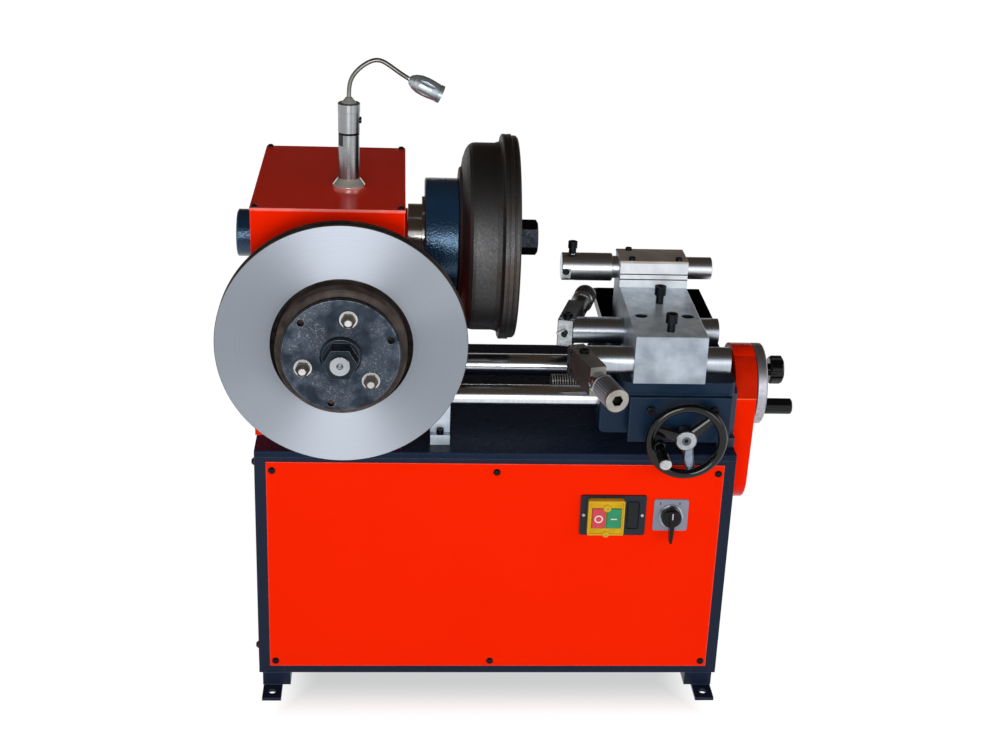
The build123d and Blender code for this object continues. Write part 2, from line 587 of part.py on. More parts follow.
for index in range(VANES):
    disc = disc + Pos(DISC_X, -248, DISC_Z) * Rot(0, 360 * index / VANES, 0) * vane
for x, z in stud_places:
    disc = disc - rod_y(HAT_FRONT, HAT_BACK, x, z, STUD_R + FIT)
save("brake_disc", disc)

# Front clamping flange with three stud holes and three tapped holes
TAP_RING = 75
TAP_START = 19
profile = [(FLANGE_FRONT, NOSE_R + FIT), (FLANGE_FRONT, 84), (FLANGE_FRONT + 2, 86), (HAT_FRONT, 86)]
profile += [(HAT_FRONT, NOSE_R + FIT)]
flange = turned_y(profile, DISC_X, DISC_Z)
for x, z in stud_places:
    flange = flange - rod_y(FLANGE_FRONT, HAT_FRONT, x, z, STUD_R + FIT)
for hole in range(3):
    dx, dz = polar(TAP_RING, math.radians(TAP_START + 120 * hole))
    flange = flange - rod_y(FLANGE_FRONT, HAT_FRONT, DISC_X + dx, DISC_Z + dz, 5.5)
save("disc_flange", flange)

# Studs, each with its nut on a broad washer
NUT_FACE = -306
WASHER_FACE = FLANGE_FRONT - 2.5
profile = [(-313, 0), (-313, 4.5), (-312, 5.5), (NUT_FACE, 5.5), (NUT_FACE, STUD_R), (WASHER_FACE, STUD_R)]
profile += [(WASHER_FACE, 13), (FLANGE_FRONT, 13), (FLANGE_FRONT, STUD_R), (-262, STUD_R), (-262, 0)]
studs = []
for x, z in stud_places:
    studs.append(turned_y(profile, x, z) + hex_y(NUT_FACE, WASHER_FACE, x, z, 10.5))
save("flange_studs", *studs)

nut_bore = 15 + FIT
profile = [(-302, nut_bore), (-302, 27), (-300, 30), (FLANGE_FRONT, 30), (FLANGE_FRONT, nut_bore)]
hexagon = hex_y(-330, -302, DISC_X, DISC_Z, 25) - rod_y(-330, -302, DISC_X, DISC_Z, nut_bore)
save("disc_nut", turned_y(profile, DISC_X, DISC_Z) + hexagon)

# Motor pulley on the motor shaft
motor_pulley = pulley_x(BELT_X - 12, BELT_X + 12, SPINDLE_Y, MOTOR_Z, MOTOR_PULLEY_R, GROOVE, 5)
save("motor_pulley", motor_pulley + rod_x(BELT_X - 12, -92, SPINDLE_Y, MOTOR_Z, 12 - FIT))

# Saddle on the guide bars with a dovetail on top
SADDLE_LEFT = 155
SADDLE_RIGHT = 332
SADDLE_FRONT = -192
SADDLE_BACK = 8
SADDLE_LOW = 444
SADDLE_TOP = 510
DOVE_X = 258
DOVE_TOP = 521
DOVE_HALF = 40
DOVE_RISE = 7
BUSH_R = 20.5
BUSH_LENGTH = 30
LEAD_NUT_R = 20


# Dovetail prism along Y, grown by a clearance for the mating groove
def dovetail(y0, y1, z0, z1, grow):
    low = DOVE_HALF + grow
    high = DOVE_HALF + DOVE_RISE + grow
    corners = [(DOVE_X - low, z0), (DOVE_X + low, z0), (DOVE_X + high, z1), (DOVE_X - high, z1)]
    outline = make_face(Polyline(*corners, close=True))
    return Pos(0, y1, 0) * extrude(Plane.XZ * outline, y1 - y0)


saddle = block(SADDLE_LEFT, SADDLE_RIGHT, SADDLE_FRONT, SADDLE_BACK, SADDLE_LOW, SADDLE_TOP)
saddle = chamfer(saddle.edges().filter_by(Axis.Z), 2)
saddle = fillet(saddle.edges().filter_by(Axis.Y).group_by(Axis.Z)[0], 10)
saddle = saddle + dovetail(SADDLE_FRONT, SADDLE_BACK, SADDLE_TOP, DOVE_TOP, 0)
for y in (BAR_FRONT_Y, BAR_REAR_Y):
    saddle = saddle - rod_x(SADDLE_LEFT, SADDLE_RIGHT, y, BAR_Z, BAR_R + 0.8)
    for x in (SADDLE_LEFT, SADDLE_RIGHT - BUSH_LENGTH):
        saddle = saddle - rod_x(x, x + BUSH_LENGTH, y, BAR_Z, BUSH_R + FIT)
saddle = saddle - rod_x(SADDLE_LEFT, SADDLE_RIGHT, LEAD_Y, LEAD_Z, 13)
saddle = saddle - rod_x(SADDLE_LEFT, SADDLE_LEFT + 26, LEAD_Y, LEAD_Z, LEAD_NUT_R + FIT)
saddle = saddle - rod_y(SADDLE_FRONT, SADDLE_BACK, CROSS_X, CROSS_Z, 7.5)
saddle = saddle - rod_y(SADDLE_FRONT, SADDLE_FRONT + 14, CROSS_X, CROSS_Z, 13 + FIT)
save("saddle", saddle)

# Bronze bushes for the bars, lead nut and flanged cross nut
bushes = []
for y in (BAR_FRONT_Y, BAR_REAR_Y):
    for x in (SADDLE_LEFT, SADDLE_RIGHT - BUSH_LENGTH):
        bushes.append(ring_x(x, x + BUSH_LENGTH, y, BAR_Z, BUSH_R, BAR_R + FIT))
bushes.append(ring_x(SADDLE_LEFT, SADDLE_LEFT + 26, LEAD_Y, LEAD_Z, LEAD_NUT_R, LEAD_R + FIT))
profile = [(SADDLE_FRONT - 5, CROSS_R + FIT), (SADDLE_FRONT - 5, 17), (SADDLE_FRONT, 17), (SADDLE_FRONT, 13)]
profile += [(SADDLE_FRONT + 14, 13), (SADDLE_FRONT + 14, CROSS_R + FIT)]
bushes.append(turned_y(profile, CROSS_X, CROSS_Z))
save("saddle_bushes", *bushes)

# Lead screw held in the right support, its left end free, with the feed pulley on its right end
LEAD_LEFT = 87.5
profile = [(LEAD_LEFT, 0), (LEAD_LEFT, LEAD_R - 2), (LEAD_LEFT + 2, LEAD_R), (338, LEAD_R)]
profile += [(338, LEAD_END_R - FIT), (418, LEAD_END_R - FIT), (418, 0)]
lead = turned_x(profile, LEAD_Y, LEAD_Z)
pulley_left = FEED_BELT_X - 11
pulley_right = FEED_BELT_X + 11
feed_pulley = pulley_x(pulley_left, pulley_right, LEAD_Y, LEAD_Z, FEED_PULLEY_R, FEED_GROOVE, LEAD_END_R)
save("lead_screw", lead, feed_pulley)

drive = pulley_x(pulley_left, pulley_right, LEAD_Y, FEED_DRIVE_Z, FEED_DRIVE_R, FEED_GROOVE, 5)
save("feed_drive_pulley", drive + rod_x(330, pulley_right, LEAD_Y, FEED_DRIVE_Z, 10 - FIT))

# Dial wheel, its crank grip and the clutch knob
WHEEL_IN = 405.5
WHEEL_OUT = 421
WHEEL_R = 64
KNOB_Y = LEAD_Y + 32
KNOB_Z = LEAD_Z + 10
KNOB_IN = 441
KNOB_OUT = 463
CRANK_Y = LEAD_Y - 42
CRANK_Z = LEAD_Z - 21
CRANK_END = 465
PIN_R = 5
profile = [(WHEEL_IN, LEAD_END_R), (WHEEL_IN, WHEEL_R - 1), (WHEEL_IN + 1, WHEEL_R)]
profile += [(WHEEL_OUT - 2, WHEEL_R), (WHEEL_OUT, WHEEL_R - 2), (WHEEL_OUT, 56), (WHEEL_OUT - 3, 54)]
profile += [(WHEEL_OUT - 3, 22), (WHEEL_OUT, 20), (WHEEL_OUT, LEAD_END_R)]
dial = turned_x(profile, LEAD_Y, LEAD_Z)
dial = dial + rod_x(WHEEL_OUT - 3, WHEEL_OUT, CRANK_Y, CRANK_Z, 9)
dial = dial + rod_x(WHEEL_OUT - 3, CRANK_END - 6, CRANK_Y, CRANK_Z, PIN_R)
dial = dial - rod_x(WHEEL_IN, WHEEL_OUT, KNOB_Y, KNOB_Z, 6)
save("feed_wheel", dial)
profile = [(WHEEL_OUT + 0.5, PIN_R + FIT), (WHEEL_OUT + 0.5, 10), (424, 12.5), (CRANK_END - 2, 12.5)]
profile += [(CRANK_END, 10.5), (CRANK_END, 0), (CRANK_END - 5, 0), (CRANK_END - 5, PIN_R + FIT)]
save("feed_crank", turned_x(profile, CRANK_Y, CRANK_Z))
profile = [(KNOB_IN, 0), (KNOB_IN, 20), (KNOB_IN + 3, 23), (KNOB_OUT - 3, 23), (KNOB_OUT, 19), (KNOB_OUT, 0)]
star = turned_x(profile, KNOB_Y, KNOB_Z)
for lobe in range(6):
    dy, dz = polar(27, math.radians(60 * lobe))
    star = star - rod_x(KNOB_IN, KNOB_OUT, KNOB_Y + dy, KNOB_Z + dz, 8)
star = star + rod_x(WHEEL_IN + 1, KNOB_IN, KNOB_Y, KNOB_Z, 6 - FIT)
star = star + rod_x(WHEEL_OUT + 0.5, KNOB_IN, KNOB_Y, KNOB_Z, 10)
save("clutch_knob", star)

# Cross table: flat top, dovetail groove below, lug that carries the apron plate
TABLE_LEFT = 184
TABLE_RIGHT = 358
TABLE_FRONT = -212
TABLE_BACK = 200
TABLE_LOW = 516
GROOVE_GAP = 0.35
LUG = 12
table = block(TABLE_LEFT, TABLE_RIGHT, TABLE_FRONT, TABLE_BACK, TABLE_LOW, BLOCK_LOW)
table = fillet(table.edges().filter_by(Axis.Z).group_by(Axis.Y)[0], 13)
table = table + block(198, 330, TABLE_FRONT, TABLE_BACK, SADDLE_TOP + GROOVE_GAP, TABLE_LOW)
table = table + block(199, 338, TABLE_FRONT, TABLE_FRONT + LUG, 482, TABLE_LOW)
table = table - dovetail(TABLE_FRONT + LUG, TABLE_BACK, SADDLE_TOP, DOVE_TOP + GROOVE_GAP, GROOVE_GAP)
apron = block(196.5, 352, TABLE_FRONT - 10, TABLE_FRONT, 442, TABLE_LOW)
apron = chamfer(apron.faces().sort_by(Axis.Y)[0].edges(), 1)
apron = apron - rod_y(TABLE_FRONT - 10, TABLE_FRONT, CROSS_X, CROSS_Z, CROSS_R + FIT)
save("cross_table", table, apron)

# Sheet chip guard wrapped round the back of the tool block
GUARD_TOP = 554
shell = block(183, 359, 66, 152, BLOCK_LOW, GUARD_TOP) + block(312, 359, -40, 66, BLOCK_LOW, GUARD_TOP)
shell = shell + block(183, 196, 37, 66, BLOCK_LOW, GUARD_TOP)
inside = block(185, 357, 68, 150, BLOCK_LOW, GUARD_TOP - 2)
inside = inside + block(314, 357, -38, 68, BLOCK_LOW, GUARD_TOP - 2)
inside = inside + block(185, 194, 39, 68, BLOCK_LOW, GUARD_TOP - 2)
save("chip_guard", shell - inside)

# Tool block bored for the two tool bars
CLAMP_SCREW_X = 255
CLAMP_SCREW_R = 6
SUNK_X = (219, 291)
SUNK_Y = -125
post = block(BLOCK_LEFT, BLOCK_RIGHT, BLOCK_FRONT, BLOCK_REAR, BLOCK_LOW, BLOCK_TOP)
post = chamfer(post.edges().group_by(Axis.Z)[-1], 1)
for y in (TOOL_BAR_FRONT_Y, TOOL_BAR_REAR_Y):
    post = post - rod_x(BLOCK_LEFT, BLOCK_RIGHT, y, TOOL_BAR_Z, TOOL_BAR_R + FIT)
    post = post - rod_z(TOOL_BAR_Z, BLOCK_TOP, CLAMP_SCREW_X, y, CLAMP_SCREW_R)
for x in SUNK_X:
    post = post - rod_z(560, BLOCK_TOP, x, SUNK_Y, 9)
    post = post - Pos(x, SUNK_Y, BLOCK_TOP - 1) * Cone(9, 11, 2)
save("tool_block", post)

# Clamp for the boring bar: riser with two seams, and its cap
riser = block(BLOCK_LEFT, BLOCK_RIGHT, CLAMP_FRONT, CLAMP_REAR, BLOCK_TOP, CLAMP_SPLIT)
for z in (624, 632.7):
    seam = block(BLOCK_LEFT, BLOCK_RIGHT, CLAMP_FRONT, CLAMP_REAR, z, z + 1)
    core = block(BLOCK_LEFT + 2, BLOCK_RIGHT - 2, CLAMP_FRONT + 2, CLAMP_REAR - 2, z, z + 1)
    riser = riser - (seam - core)
riser = riser - rod_x(BLOCK_LEFT, BLOCK_RIGHT, BORING_Y, BORING_Z, BORING_R + FIT)
save("bar_clamp", riser)
cap = block(BLOCK_LEFT - 1, BLOCK_RIGHT, CLAMP_FRONT, CLAMP_REAR, CLAMP_SPLIT, CLAMP_TOP)
cap = chamfer(cap.edges().group_by(Axis.Z)[-1], 1)
cap = cap - rod_x(BLOCK_LEFT - 1, BLOCK_RIGHT, BORING_Y, BORING_Z, BORING_R + FIT)
save("clamp_cap", cap)

# Screws of the tool post: two clamp screws, two sunk screws, three cap screws, two apron screws
post_screws = []
for y in (TOOL_BAR_FRONT_Y, TOOL_BAR_REAR_Y):
    stem = rod_z(TOOL_BAR_Z + TOOL_BAR_R + 0.3, 626, CLAMP_SCREW_X, y, CLAMP_SCREW_R - FIT)
    post_screws.append(stem + cap_screw_z(CLAMP_SCREW_X, y, 625, 9, 14))
for x in SUNK_X:
    post_screws.append(cap_screw_z(x, SUNK_Y, 560, 8.5, 12))
for x, y in ((219, CLAMP_FRONT + 7), (294, CLAMP_FRONT + 7), (219, CLAMP_REAR - 7)):
    post_screws.append(cap_screw_z(x, y, CLAMP_TOP, 5.2, 4))
for x in (229, 326):
    screw = rod_y(TABLE_FRONT - 17, TABLE_FRONT - 10, x, 495.5, 7)
    post_screws.append(screw - hex_y(TABLE_FRONT - 17, TABLE_FRONT - 13, x, 495.5, 4))
save("block_screws", *post_screws)

# Boring bar: thick head with a flat pocket, its cutting insert and the screw that locks it
HEAD_X0 = 108
HEAD_X1 = 189.5
HEAD_R = 22.5
BAR_END = 351
POCKET_Y = BORING_Y - 17
profile = [(HEAD_X0, 0), (HEAD_X0, HEAD_R - 1), (HEAD_X0 + 1, HEAD_R), (HEAD_X1 - 1, HEAD_R)]
profile += [(HEAD_X1, HEAD_R - 1), (HEAD_X1, BORING_R), (BAR_END - 1, BORING_R), (BAR_END, BORING_R - 1)]
profile += [(BAR_END, 0)]
boring = turned_x(profile, BORING_Y, BORING_Z)
boring = boring - block(HEAD_X0, HEAD_X0 + 14, BORING_Y - HEAD_R, POCKET_Y, BORING_Z - HEAD_R, BORING_Z + 3)
insert = Pos(HEAD_X0 + 5, POCKET_Y, BORING_Z - 7) * Rot(90, 0, 0) * extrude(RegularPolygon(9, 3), 4)
insert = insert + rod_y(POCKET_Y - 5.5, POCKET_Y, HEAD_X0 + 5, BORING_Z - 7, 3)
lock_x = HEAD_X0 + 17
lock = rod_z(BORING_Z + HEAD_R - 2, 667, lock_x, BORING_Y, 6)
lock = lock + cap_screw_z(lock_x, BORING_Y, 666, 7.5, 10.5)
save("boring_bar", boring + insert + lock)


# Place pieces drawn along an arm, with the arm's inner end at the local origin
def along_arm(start, side, shape):
    x, y = start
    return Pos(x, y, TOOL_BAR_Z) * Rot(0, 0, side * (90 - ARM_TILT)) * shape


# Arm welded to its tool bar, sliding cutter with its insert, and the micrometer thimble
def cutter_set(name, start, side, bar_y, bar_x, screw_at, barrel_end, thimble_end):
    arm = block(TIP_LENGTH, ARM_LENGTH, -ARM_HALF_W, ARM_HALF_W, -ARM_HALF_H, ARM_HALF_H)
    arm = arm + rod_x(ARM_LENGTH, barrel_end, 0, 0, 15)
    arm = arm + cap_screw_z(screw_at, 0, ARM_HALF_H, 7.5, 5)
    holder = along_arm(start, side, arm) + rod_x(*bar_x, bar_y, TOOL_BAR_Z, TOOL_BAR_R)
    bore = rod_x(TIP_LENGTH, 80, 0, 0, QUILL_R + FIT) + rod_x(80, barrel_end, 0, 0, SCREW_R + FIT)
    holder = holder - along_arm(start, side, bore)
    tip_path = block(-60, TIP_LENGTH, -ARM_HALF_W - 0.5, ARM_HALF_W + 0.5, -ARM_HALF_H - 1, ARM_HALF_H + 1)
    holder = holder - along_arm(start, side, tip_path)
    save(f"{name}_tool_bar", holder)
    tip = block(0, TIP_LENGTH, -ARM_HALF_W, ARM_HALF_W, -ARM_HALF_H, ARM_HALF_H)
    tip = chamfer(tip.faces().sort_by(Axis.X)[0].edges(), 1)
    tip = tip + rod_x(TIP_LENGTH, 70, 0, 0, QUILL_R)
    tip = tip - rod_x(25, 70, 0, 0, SCREW_R + 0.3)
    insert = Pos(-4, side * 5, 0) * Rot(0, 90, 0) * extrude(Rot(0, 0, 90) * RegularPolygon(9, 3), 4)
    tip = tip + insert
    save(f"{name}_cutter", along_arm(start, side, tip))
    seat = barrel_end + 0.3
    profile = [(32, 0), (32, SCREW_R), (seat, SCREW_R), (seat, 16), (seat + 3.7, 18), (thimble_end - 1, 18)]
    profile += [(thimble_end, 17), (thimble_end, 0)]
    thimble = turned_x(profile, 0, 0)
    thimble = thimble - hex_x(thimble_end - 10, thimble_end, 0, 0, 7)
    save(f"{name}_thimble", along_arm(start, side, thimble))


cutter_set("front", ARM_FRONT, -1, TOOL_BAR_FRONT_Y, (126, 347), 35, 104, 166)
cutter_set("rear", ARM_REAR, 1, TOOL_BAR_REAR_Y, (118, 350), 20, 140, 182)

# Cross feed screw and three-spoke handwheel with a turning grip
RIM_Y = -253
RIM_R = 55
RIM_TUBE = 7
HUB_FRONT = -254
GRIP_R = 41
GRIP_ANGLE = 192
GRIP_END = -318
save("cross_screw", rod_y(HUB_FRONT + 1, -50, CROSS_X, CROSS_Z, CROSS_R))
hand = Pos(CROSS_X, RIM_Y, CROSS_Z) * Rot(90, 0, 0) * Torus(RIM_R, RIM_TUBE)
profile = [(HUB_FRONT, 0), (HUB_FRONT, 15), (HUB_FRONT + 1, 16), (-242, 16), (-228, 14), (-228, 0)]
hand = hand + turned_y(profile, CROSS_X, CROSS_Z)
for angle in (-78, 42, 162):
    spoke = Pos(31, 0, 0) * Box(44, 8, 15)
    hand = hand + Pos(CROSS_X, RIM_Y + 6, CROSS_Z) * Rot(0, -angle, 0) * spoke
gx, gz = polar(GRIP_R, math.radians(GRIP_ANGLE))
grip_x = CROSS_X + gx
grip_z = CROSS_Z + gz
hand = hand + rod_y(RIM_Y - 6, RIM_Y + 5, grip_x, grip_z, 9)
hand = hand + rod_y(GRIP_END + 6, RIM_Y, grip_x, grip_z, 4)
hand = hand - rod_y(HUB_FRONT, -228, CROSS_X, CROSS_Z, CROSS_R + FIT)
save("handwheel", hand)
profile = [(GRIP_END, 0), (GRIP_END, 7.5), (GRIP_END + 1.5, 9), (-306, 9.5), (-284, 9), (-268, 7.5)]
profile += [(RIM_Y - 6.5, 7), (RIM_Y - 6.5, 4 + FIT), (GRIP_END + 5, 4 + FIT), (GRIP_END + 5, 0)]
save("wheel_grip", turned_y(profile, grip_x, grip_z))

# Push buttons and the selector knob with its pointer lever
BUTTON_FACE = SWITCH_FRAME_FACE - 2
for name, (x0, x1) in (("stop_button", STOP_BUTTON), ("start_button", START_BUTTON)):
    button = block(x0, x1, BUTTON_FACE, -220, BUTTON_LOW, BUTTON_HIGH)
    save(name, chamfer(button.faces().sort_by(Axis.Y)[0].edges(), 1))
profile = [(-240, 0), (-240, 13), (-238, 15.5), (front_y - 7.5, 16), (front_y - 7.5, 8), (-196, 8), (-196, 0)]
knob = turned_y(profile, SELECTOR_X, SELECTOR_Z)
lever = Pos(SELECTOR_X, 0, SELECTOR_Z) * Rot(90, 0, 0) * extrude(
    make_face(Polyline((-5, 14), (5, 14), (2, -40), (-2, -40), close=True)), 14)
save("selector_knob", knob + Pos(0, -231, 0) * lever)

# Magnetic work lamp: foot and tube, side button, bent neck and fluted head
LAMP_X = -230
LAMP_Y = -46
LAMP_SEAM = 866
LAMP_TOP = 913
UPPER_R = 16.8
LOWER_R = 15.9
BUTTON_Z = 887
profile = [(784, 0), (784, 24), (788, 24.5), (798, 17), (798, LOWER_R), (LAMP_SEAM, LOWER_R)]
profile += [(LAMP_SEAM, LOWER_R - 1), (LAMP_SEAM + 3, LOWER_R - 1), (LAMP_SEAM + 3, UPPER_R - 0.4)]
profile += [(900, UPPER_R - 0.4), (900, UPPER_R), (LAMP_TOP - 1, UPPER_R), (LAMP_TOP, UPPER_R - 1)]
profile += [(LAMP_TOP, 11), (LAMP_TOP + 3, 9), (921, 5), (921, 0)]
tube_body = turned_z(profile, LAMP_X, LAMP_Y)
tube_body = tube_body - rod_x(LAMP_X + 9, LAMP_X + 18, LAMP_Y, BUTTON_Z, 5.3)
save("lamp_tube", tube_body)
profile = [(LAMP_X + 11, 0), (LAMP_X + 11, 5), (LAMP_X + 18, 5), (LAMP_X + 19, 4), (LAMP_X + 19, 0)]
save("lamp_button", turned_x(profile, LAMP_Y, BUTTON_Z))
NECK_R = 3.3
NECK_END = (-139, 949.6)
HEAD_DROP = 25.2
bend = [(LAMP_X, 921), (-224, 953), (-194.6, 976.6), NECK_END]
drop = math.radians(HEAD_DROP + 4)
path = Spline(*[(x, LAMP_Y, z) for x, z in bend], tangents=[(0, 0, 1), (math.cos(drop), 0, -math.sin(drop))])
neck = sweep(Plane(origin=path @ 0, z_dir=path % 0) * Circle(NECK_R), path=path)
profile = [(-2, 0), (-2, 4), (0, 7), (6, 11), (14, 13.6), (24, 14.5), (34, 14.2), (44, 13.2), (44, 12.6)]
profile += [(45.5, 12.6), (45.5, 13.6), (51, 13.6), (51, 11.5), (48, 11), (48, 0)]
head = turned(profile)
for flute in range(6):
    head = head - Rot(0, 0, 60 * flute) * Pos(20.4, 0, 27) * Rot(0, 1.5, 0) * Cylinder(7, 26)
save("lamp_neck", neck + Pos(NECK_END[0], LAMP_Y, NECK_END[1]) * Rot(0, 90 + HEAD_DROP, 0) * head)
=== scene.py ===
import math

import bmesh
import bpy
from mathutils import Matrix, Vector


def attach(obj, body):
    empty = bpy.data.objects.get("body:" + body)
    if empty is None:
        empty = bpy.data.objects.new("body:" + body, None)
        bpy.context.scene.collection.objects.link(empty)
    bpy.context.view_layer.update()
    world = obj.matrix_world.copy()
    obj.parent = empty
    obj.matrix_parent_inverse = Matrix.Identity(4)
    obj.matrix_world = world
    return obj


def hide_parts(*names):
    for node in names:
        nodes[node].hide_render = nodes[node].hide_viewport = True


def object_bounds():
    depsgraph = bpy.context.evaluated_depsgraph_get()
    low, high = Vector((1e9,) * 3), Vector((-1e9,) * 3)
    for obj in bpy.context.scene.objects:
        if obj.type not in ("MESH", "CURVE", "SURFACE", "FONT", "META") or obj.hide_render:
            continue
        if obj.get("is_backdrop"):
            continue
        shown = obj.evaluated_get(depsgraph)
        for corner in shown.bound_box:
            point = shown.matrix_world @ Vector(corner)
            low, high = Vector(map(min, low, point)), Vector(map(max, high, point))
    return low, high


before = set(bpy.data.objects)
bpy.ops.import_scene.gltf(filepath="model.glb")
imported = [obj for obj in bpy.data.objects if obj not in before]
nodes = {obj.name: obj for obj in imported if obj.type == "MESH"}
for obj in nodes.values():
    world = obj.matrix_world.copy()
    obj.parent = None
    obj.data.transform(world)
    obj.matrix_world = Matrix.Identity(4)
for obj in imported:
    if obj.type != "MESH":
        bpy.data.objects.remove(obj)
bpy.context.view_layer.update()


# Colours are written as sRGB hex values and used as linear light
def colour(text):
    parts = [int(text[i:i + 2], 16) / 255 for i in (1, 3, 5)]
    return [p / 12.92 if p <= 0.04045 else ((p + 0.055) / 1.055) ** 2.4 for p in parts] + [1]


# Texture scale for a pattern of this size in millimetres
def per_mm(size):
    return 1000 / size


# A shader node with its settings and its sockets, linked or set
def add(tree, kind, sockets=None, **settings):
    node = tree.nodes.new("ShaderNode" + kind)
    for key, value in settings.items():
        setattr(node, key, value)
    for key, value in (sockets or {}).items():
        if isinstance(value, bpy.types.NodeSocket):
            tree.links.new(value, node.inputs[key])
        else:
            node.inputs[key].default_value = value
    return node


# A new material, with its node tree, its shader and its coordinates
def surface(name, sockets):
    mat = bpy.data.materials.new(name)
    mat.use_nodes = True
    tree = mat.node_tree
    shader = tree.nodes["Principled BSDF"]
    for key, value in sockets.items():
        shader.inputs[key].default_value = value
    place = add(tree, "TexCoord").outputs["Object"]
    return mat, tree, shader, place


# 1 on the edges, where the rounded normal departs from the flat one; the tint laid there stands for wear that
# hands and tools rub in, and for a painted edge highlight
def wear_and_highlight_edges(tree, normal):
    flat = add(tree, "NewGeometry").outputs["Normal"]
    dot = add(tree, "VectorMath", {0: normal, 1: flat}, operation="DOT_PRODUCT").outputs["Value"]
    return add(tree, "MapRange", {"Value": dot, "From Min": 0.995, "From Max": 0.85}).outputs["Result"]


# X, Y and Z in metres about a point in millimetres, turned about Z in degrees
def measured(mat, centre=(0, 0, 0), turn=0):
    tree = mat.node_tree
    place = add(tree, "TexCoord").outputs["Object"]
    spot = [value / 1000 for value in centre]
    moved = add(tree, "Mapping", {"Vector": place, "Location": spot, "Rotation": (0, 0, math.radians(turn))},
                vector_type="TEXTURE")
    return add(tree, "SeparateXYZ", {0: moved.outputs["Vector"]}).outputs


# Distance from an axis, out of the two coordinates across it
def off_axis(mat, first, second):
    tree = mat.node_tree
    across = add(tree, "CombineXYZ", {0: first, 1: second}).outputs[0]
    return add(tree, "VectorMath", {0: across}, operation="LENGTH").outputs["Value"]


# Mask of soft clouds of this size in millimetres, 0 at the first level of the noise and 1 at the second
def cloudy(mat, size, detail, empty, full):
    tree = mat.node_tree
    place = add(tree, "TexCoord").outputs["Object"]
    noise = add(tree, "TexNoise", {"Vector": place, "Scale": per_mm(size), "Detail": detail})
    spread = add(tree, "MapRange", {"Value": noise.outputs["Fac"], "From Min": empty, "From Max": full})
    return spread.outputs["Result"]


# Lays another finish over a material where the mask is 1, its two tones in soft patches
TONE_PATCH = 20


def overlay(mat, mask, deep, bright, metallic, rough):
    tree = mat.node_tree
    shader = tree.nodes["Principled BSDF"]
    patches = cloudy(mat, TONE_PATCH, 4, 0.3, 0.7)
    tone = add(tree, "Mix", {0: patches, 6: colour(deep), 7: colour(bright)}, data_type="RGBA").outputs[2]
    layers = [("Base Color", tone, "RGBA", 6, 7, 2)]
    layers += [("Metallic", metallic, "FLOAT", 2, 3, 0), ("Roughness", rough, "FLOAT", 2, 3, 0)]
    for key, value, kind, under, over, out in layers:
        socket = shader.inputs[key]
        mix = add(tree, "Mix", {0: mask, over: value}, data_type=kind)
        if socket.is_linked:
            tree.links.new(socket.links[0].from_socket, mix.inputs[under])
        else:
            mix.inputs[under].default_value = socket.default_value
        tree.links.new(mix.outputs[out], socket)


# Lays another finish over a material where every coordinate lies between its limits in millimetres
def coat(mat, limits, deep, bright, metallic, rough):
    tree = mat.node_tree
    mask = 1.0
    for value, low, high in limits:
        above = add(tree, "Math", {0: value, 1: low / 1000}, operation="GREATER_THAN").outputs[0]
        below = add(tree, "Math", {0: value, 1: high / 1000}, operation="LESS_THAN").outputs[0]
        inside = add(tree, "Math", {0: above, 1: below}, operation="MULTIPLY").outputs[0]
        mask = add(tree, "Math", {0: mask, 1: inside}, operation="MULTIPLY").outputs[0]
    overlay(mat, mask, deep, bright, metallic, rough)


# Sprayed enamel on steel: soft tone patches, orange peel, edges painted lighter, partly as wear and partly as
# a painted highlight
PAINT_PATCH = 160
PAINT_CHIP = 9
PAINT_DUST = 35


def enamel(name, deep, bright, edge_wear_and_highlight, gloss, level, peel_mm=0.015, edge_mm=1.2, peel_size=4, tint="#FFFFFF"):
    mat, tree, shader, place = surface(name, {"IOR": 1.5, "Specular IOR Level": level,
                                              "Specular Tint": colour(tint)})
    patches = add(tree, "TexNoise", {"Vector": place, "Scale": per_mm(PAINT_PATCH), "Detail": 4})
    tone = add(tree, "Mix", {0: patches.outputs["Fac"], 6: colour(deep), 7: colour(bright)}, data_type="RGBA")
    normal = add(tree, "Bevel", {"Radius": edge_mm / 1000}, samples=4).outputs["Normal"]
    chips = add(tree, "TexNoise", {"Vector": place, "Scale": per_mm(PAINT_CHIP), "Detail": 5})
    rubbed = add(tree, "Math", {0: wear_and_highlight_edges(tree, normal), 1: chips.outputs["Fac"]}, operation="MULTIPLY")
    tinted = add(tree, "Mix", {0: rubbed.outputs[0], 6: tone.outputs[2], 7: colour(edge_wear_and_highlight)}, data_type="RGBA")
    tree.links.new(tinted.outputs[2], shader.inputs["Base Color"])
    dust = add(tree, "TexNoise", {"Vector": place, "Scale": per_mm(PAINT_DUST), "Detail": 5})
    rough = add(tree, "MapRange", {"Value": dust.outputs["Fac"], "To Min": gloss - 0.06,
                                   "To Max": gloss + 0.1})
    tree.links.new(rough.outputs["Result"], shader.inputs["Roughness"])
    peel = add(tree, "TexNoise", {"Vector": place, "Scale": per_mm(peel_size), "Detail": 2})
    bump = add(tree, "Bump", {"Height": peel.outputs["Fac"], "Distance": peel_mm / 1000, "Normal": normal})
    tree.links.new(bump.outputs["Normal"], shader.inputs["Normal"])
    return mat
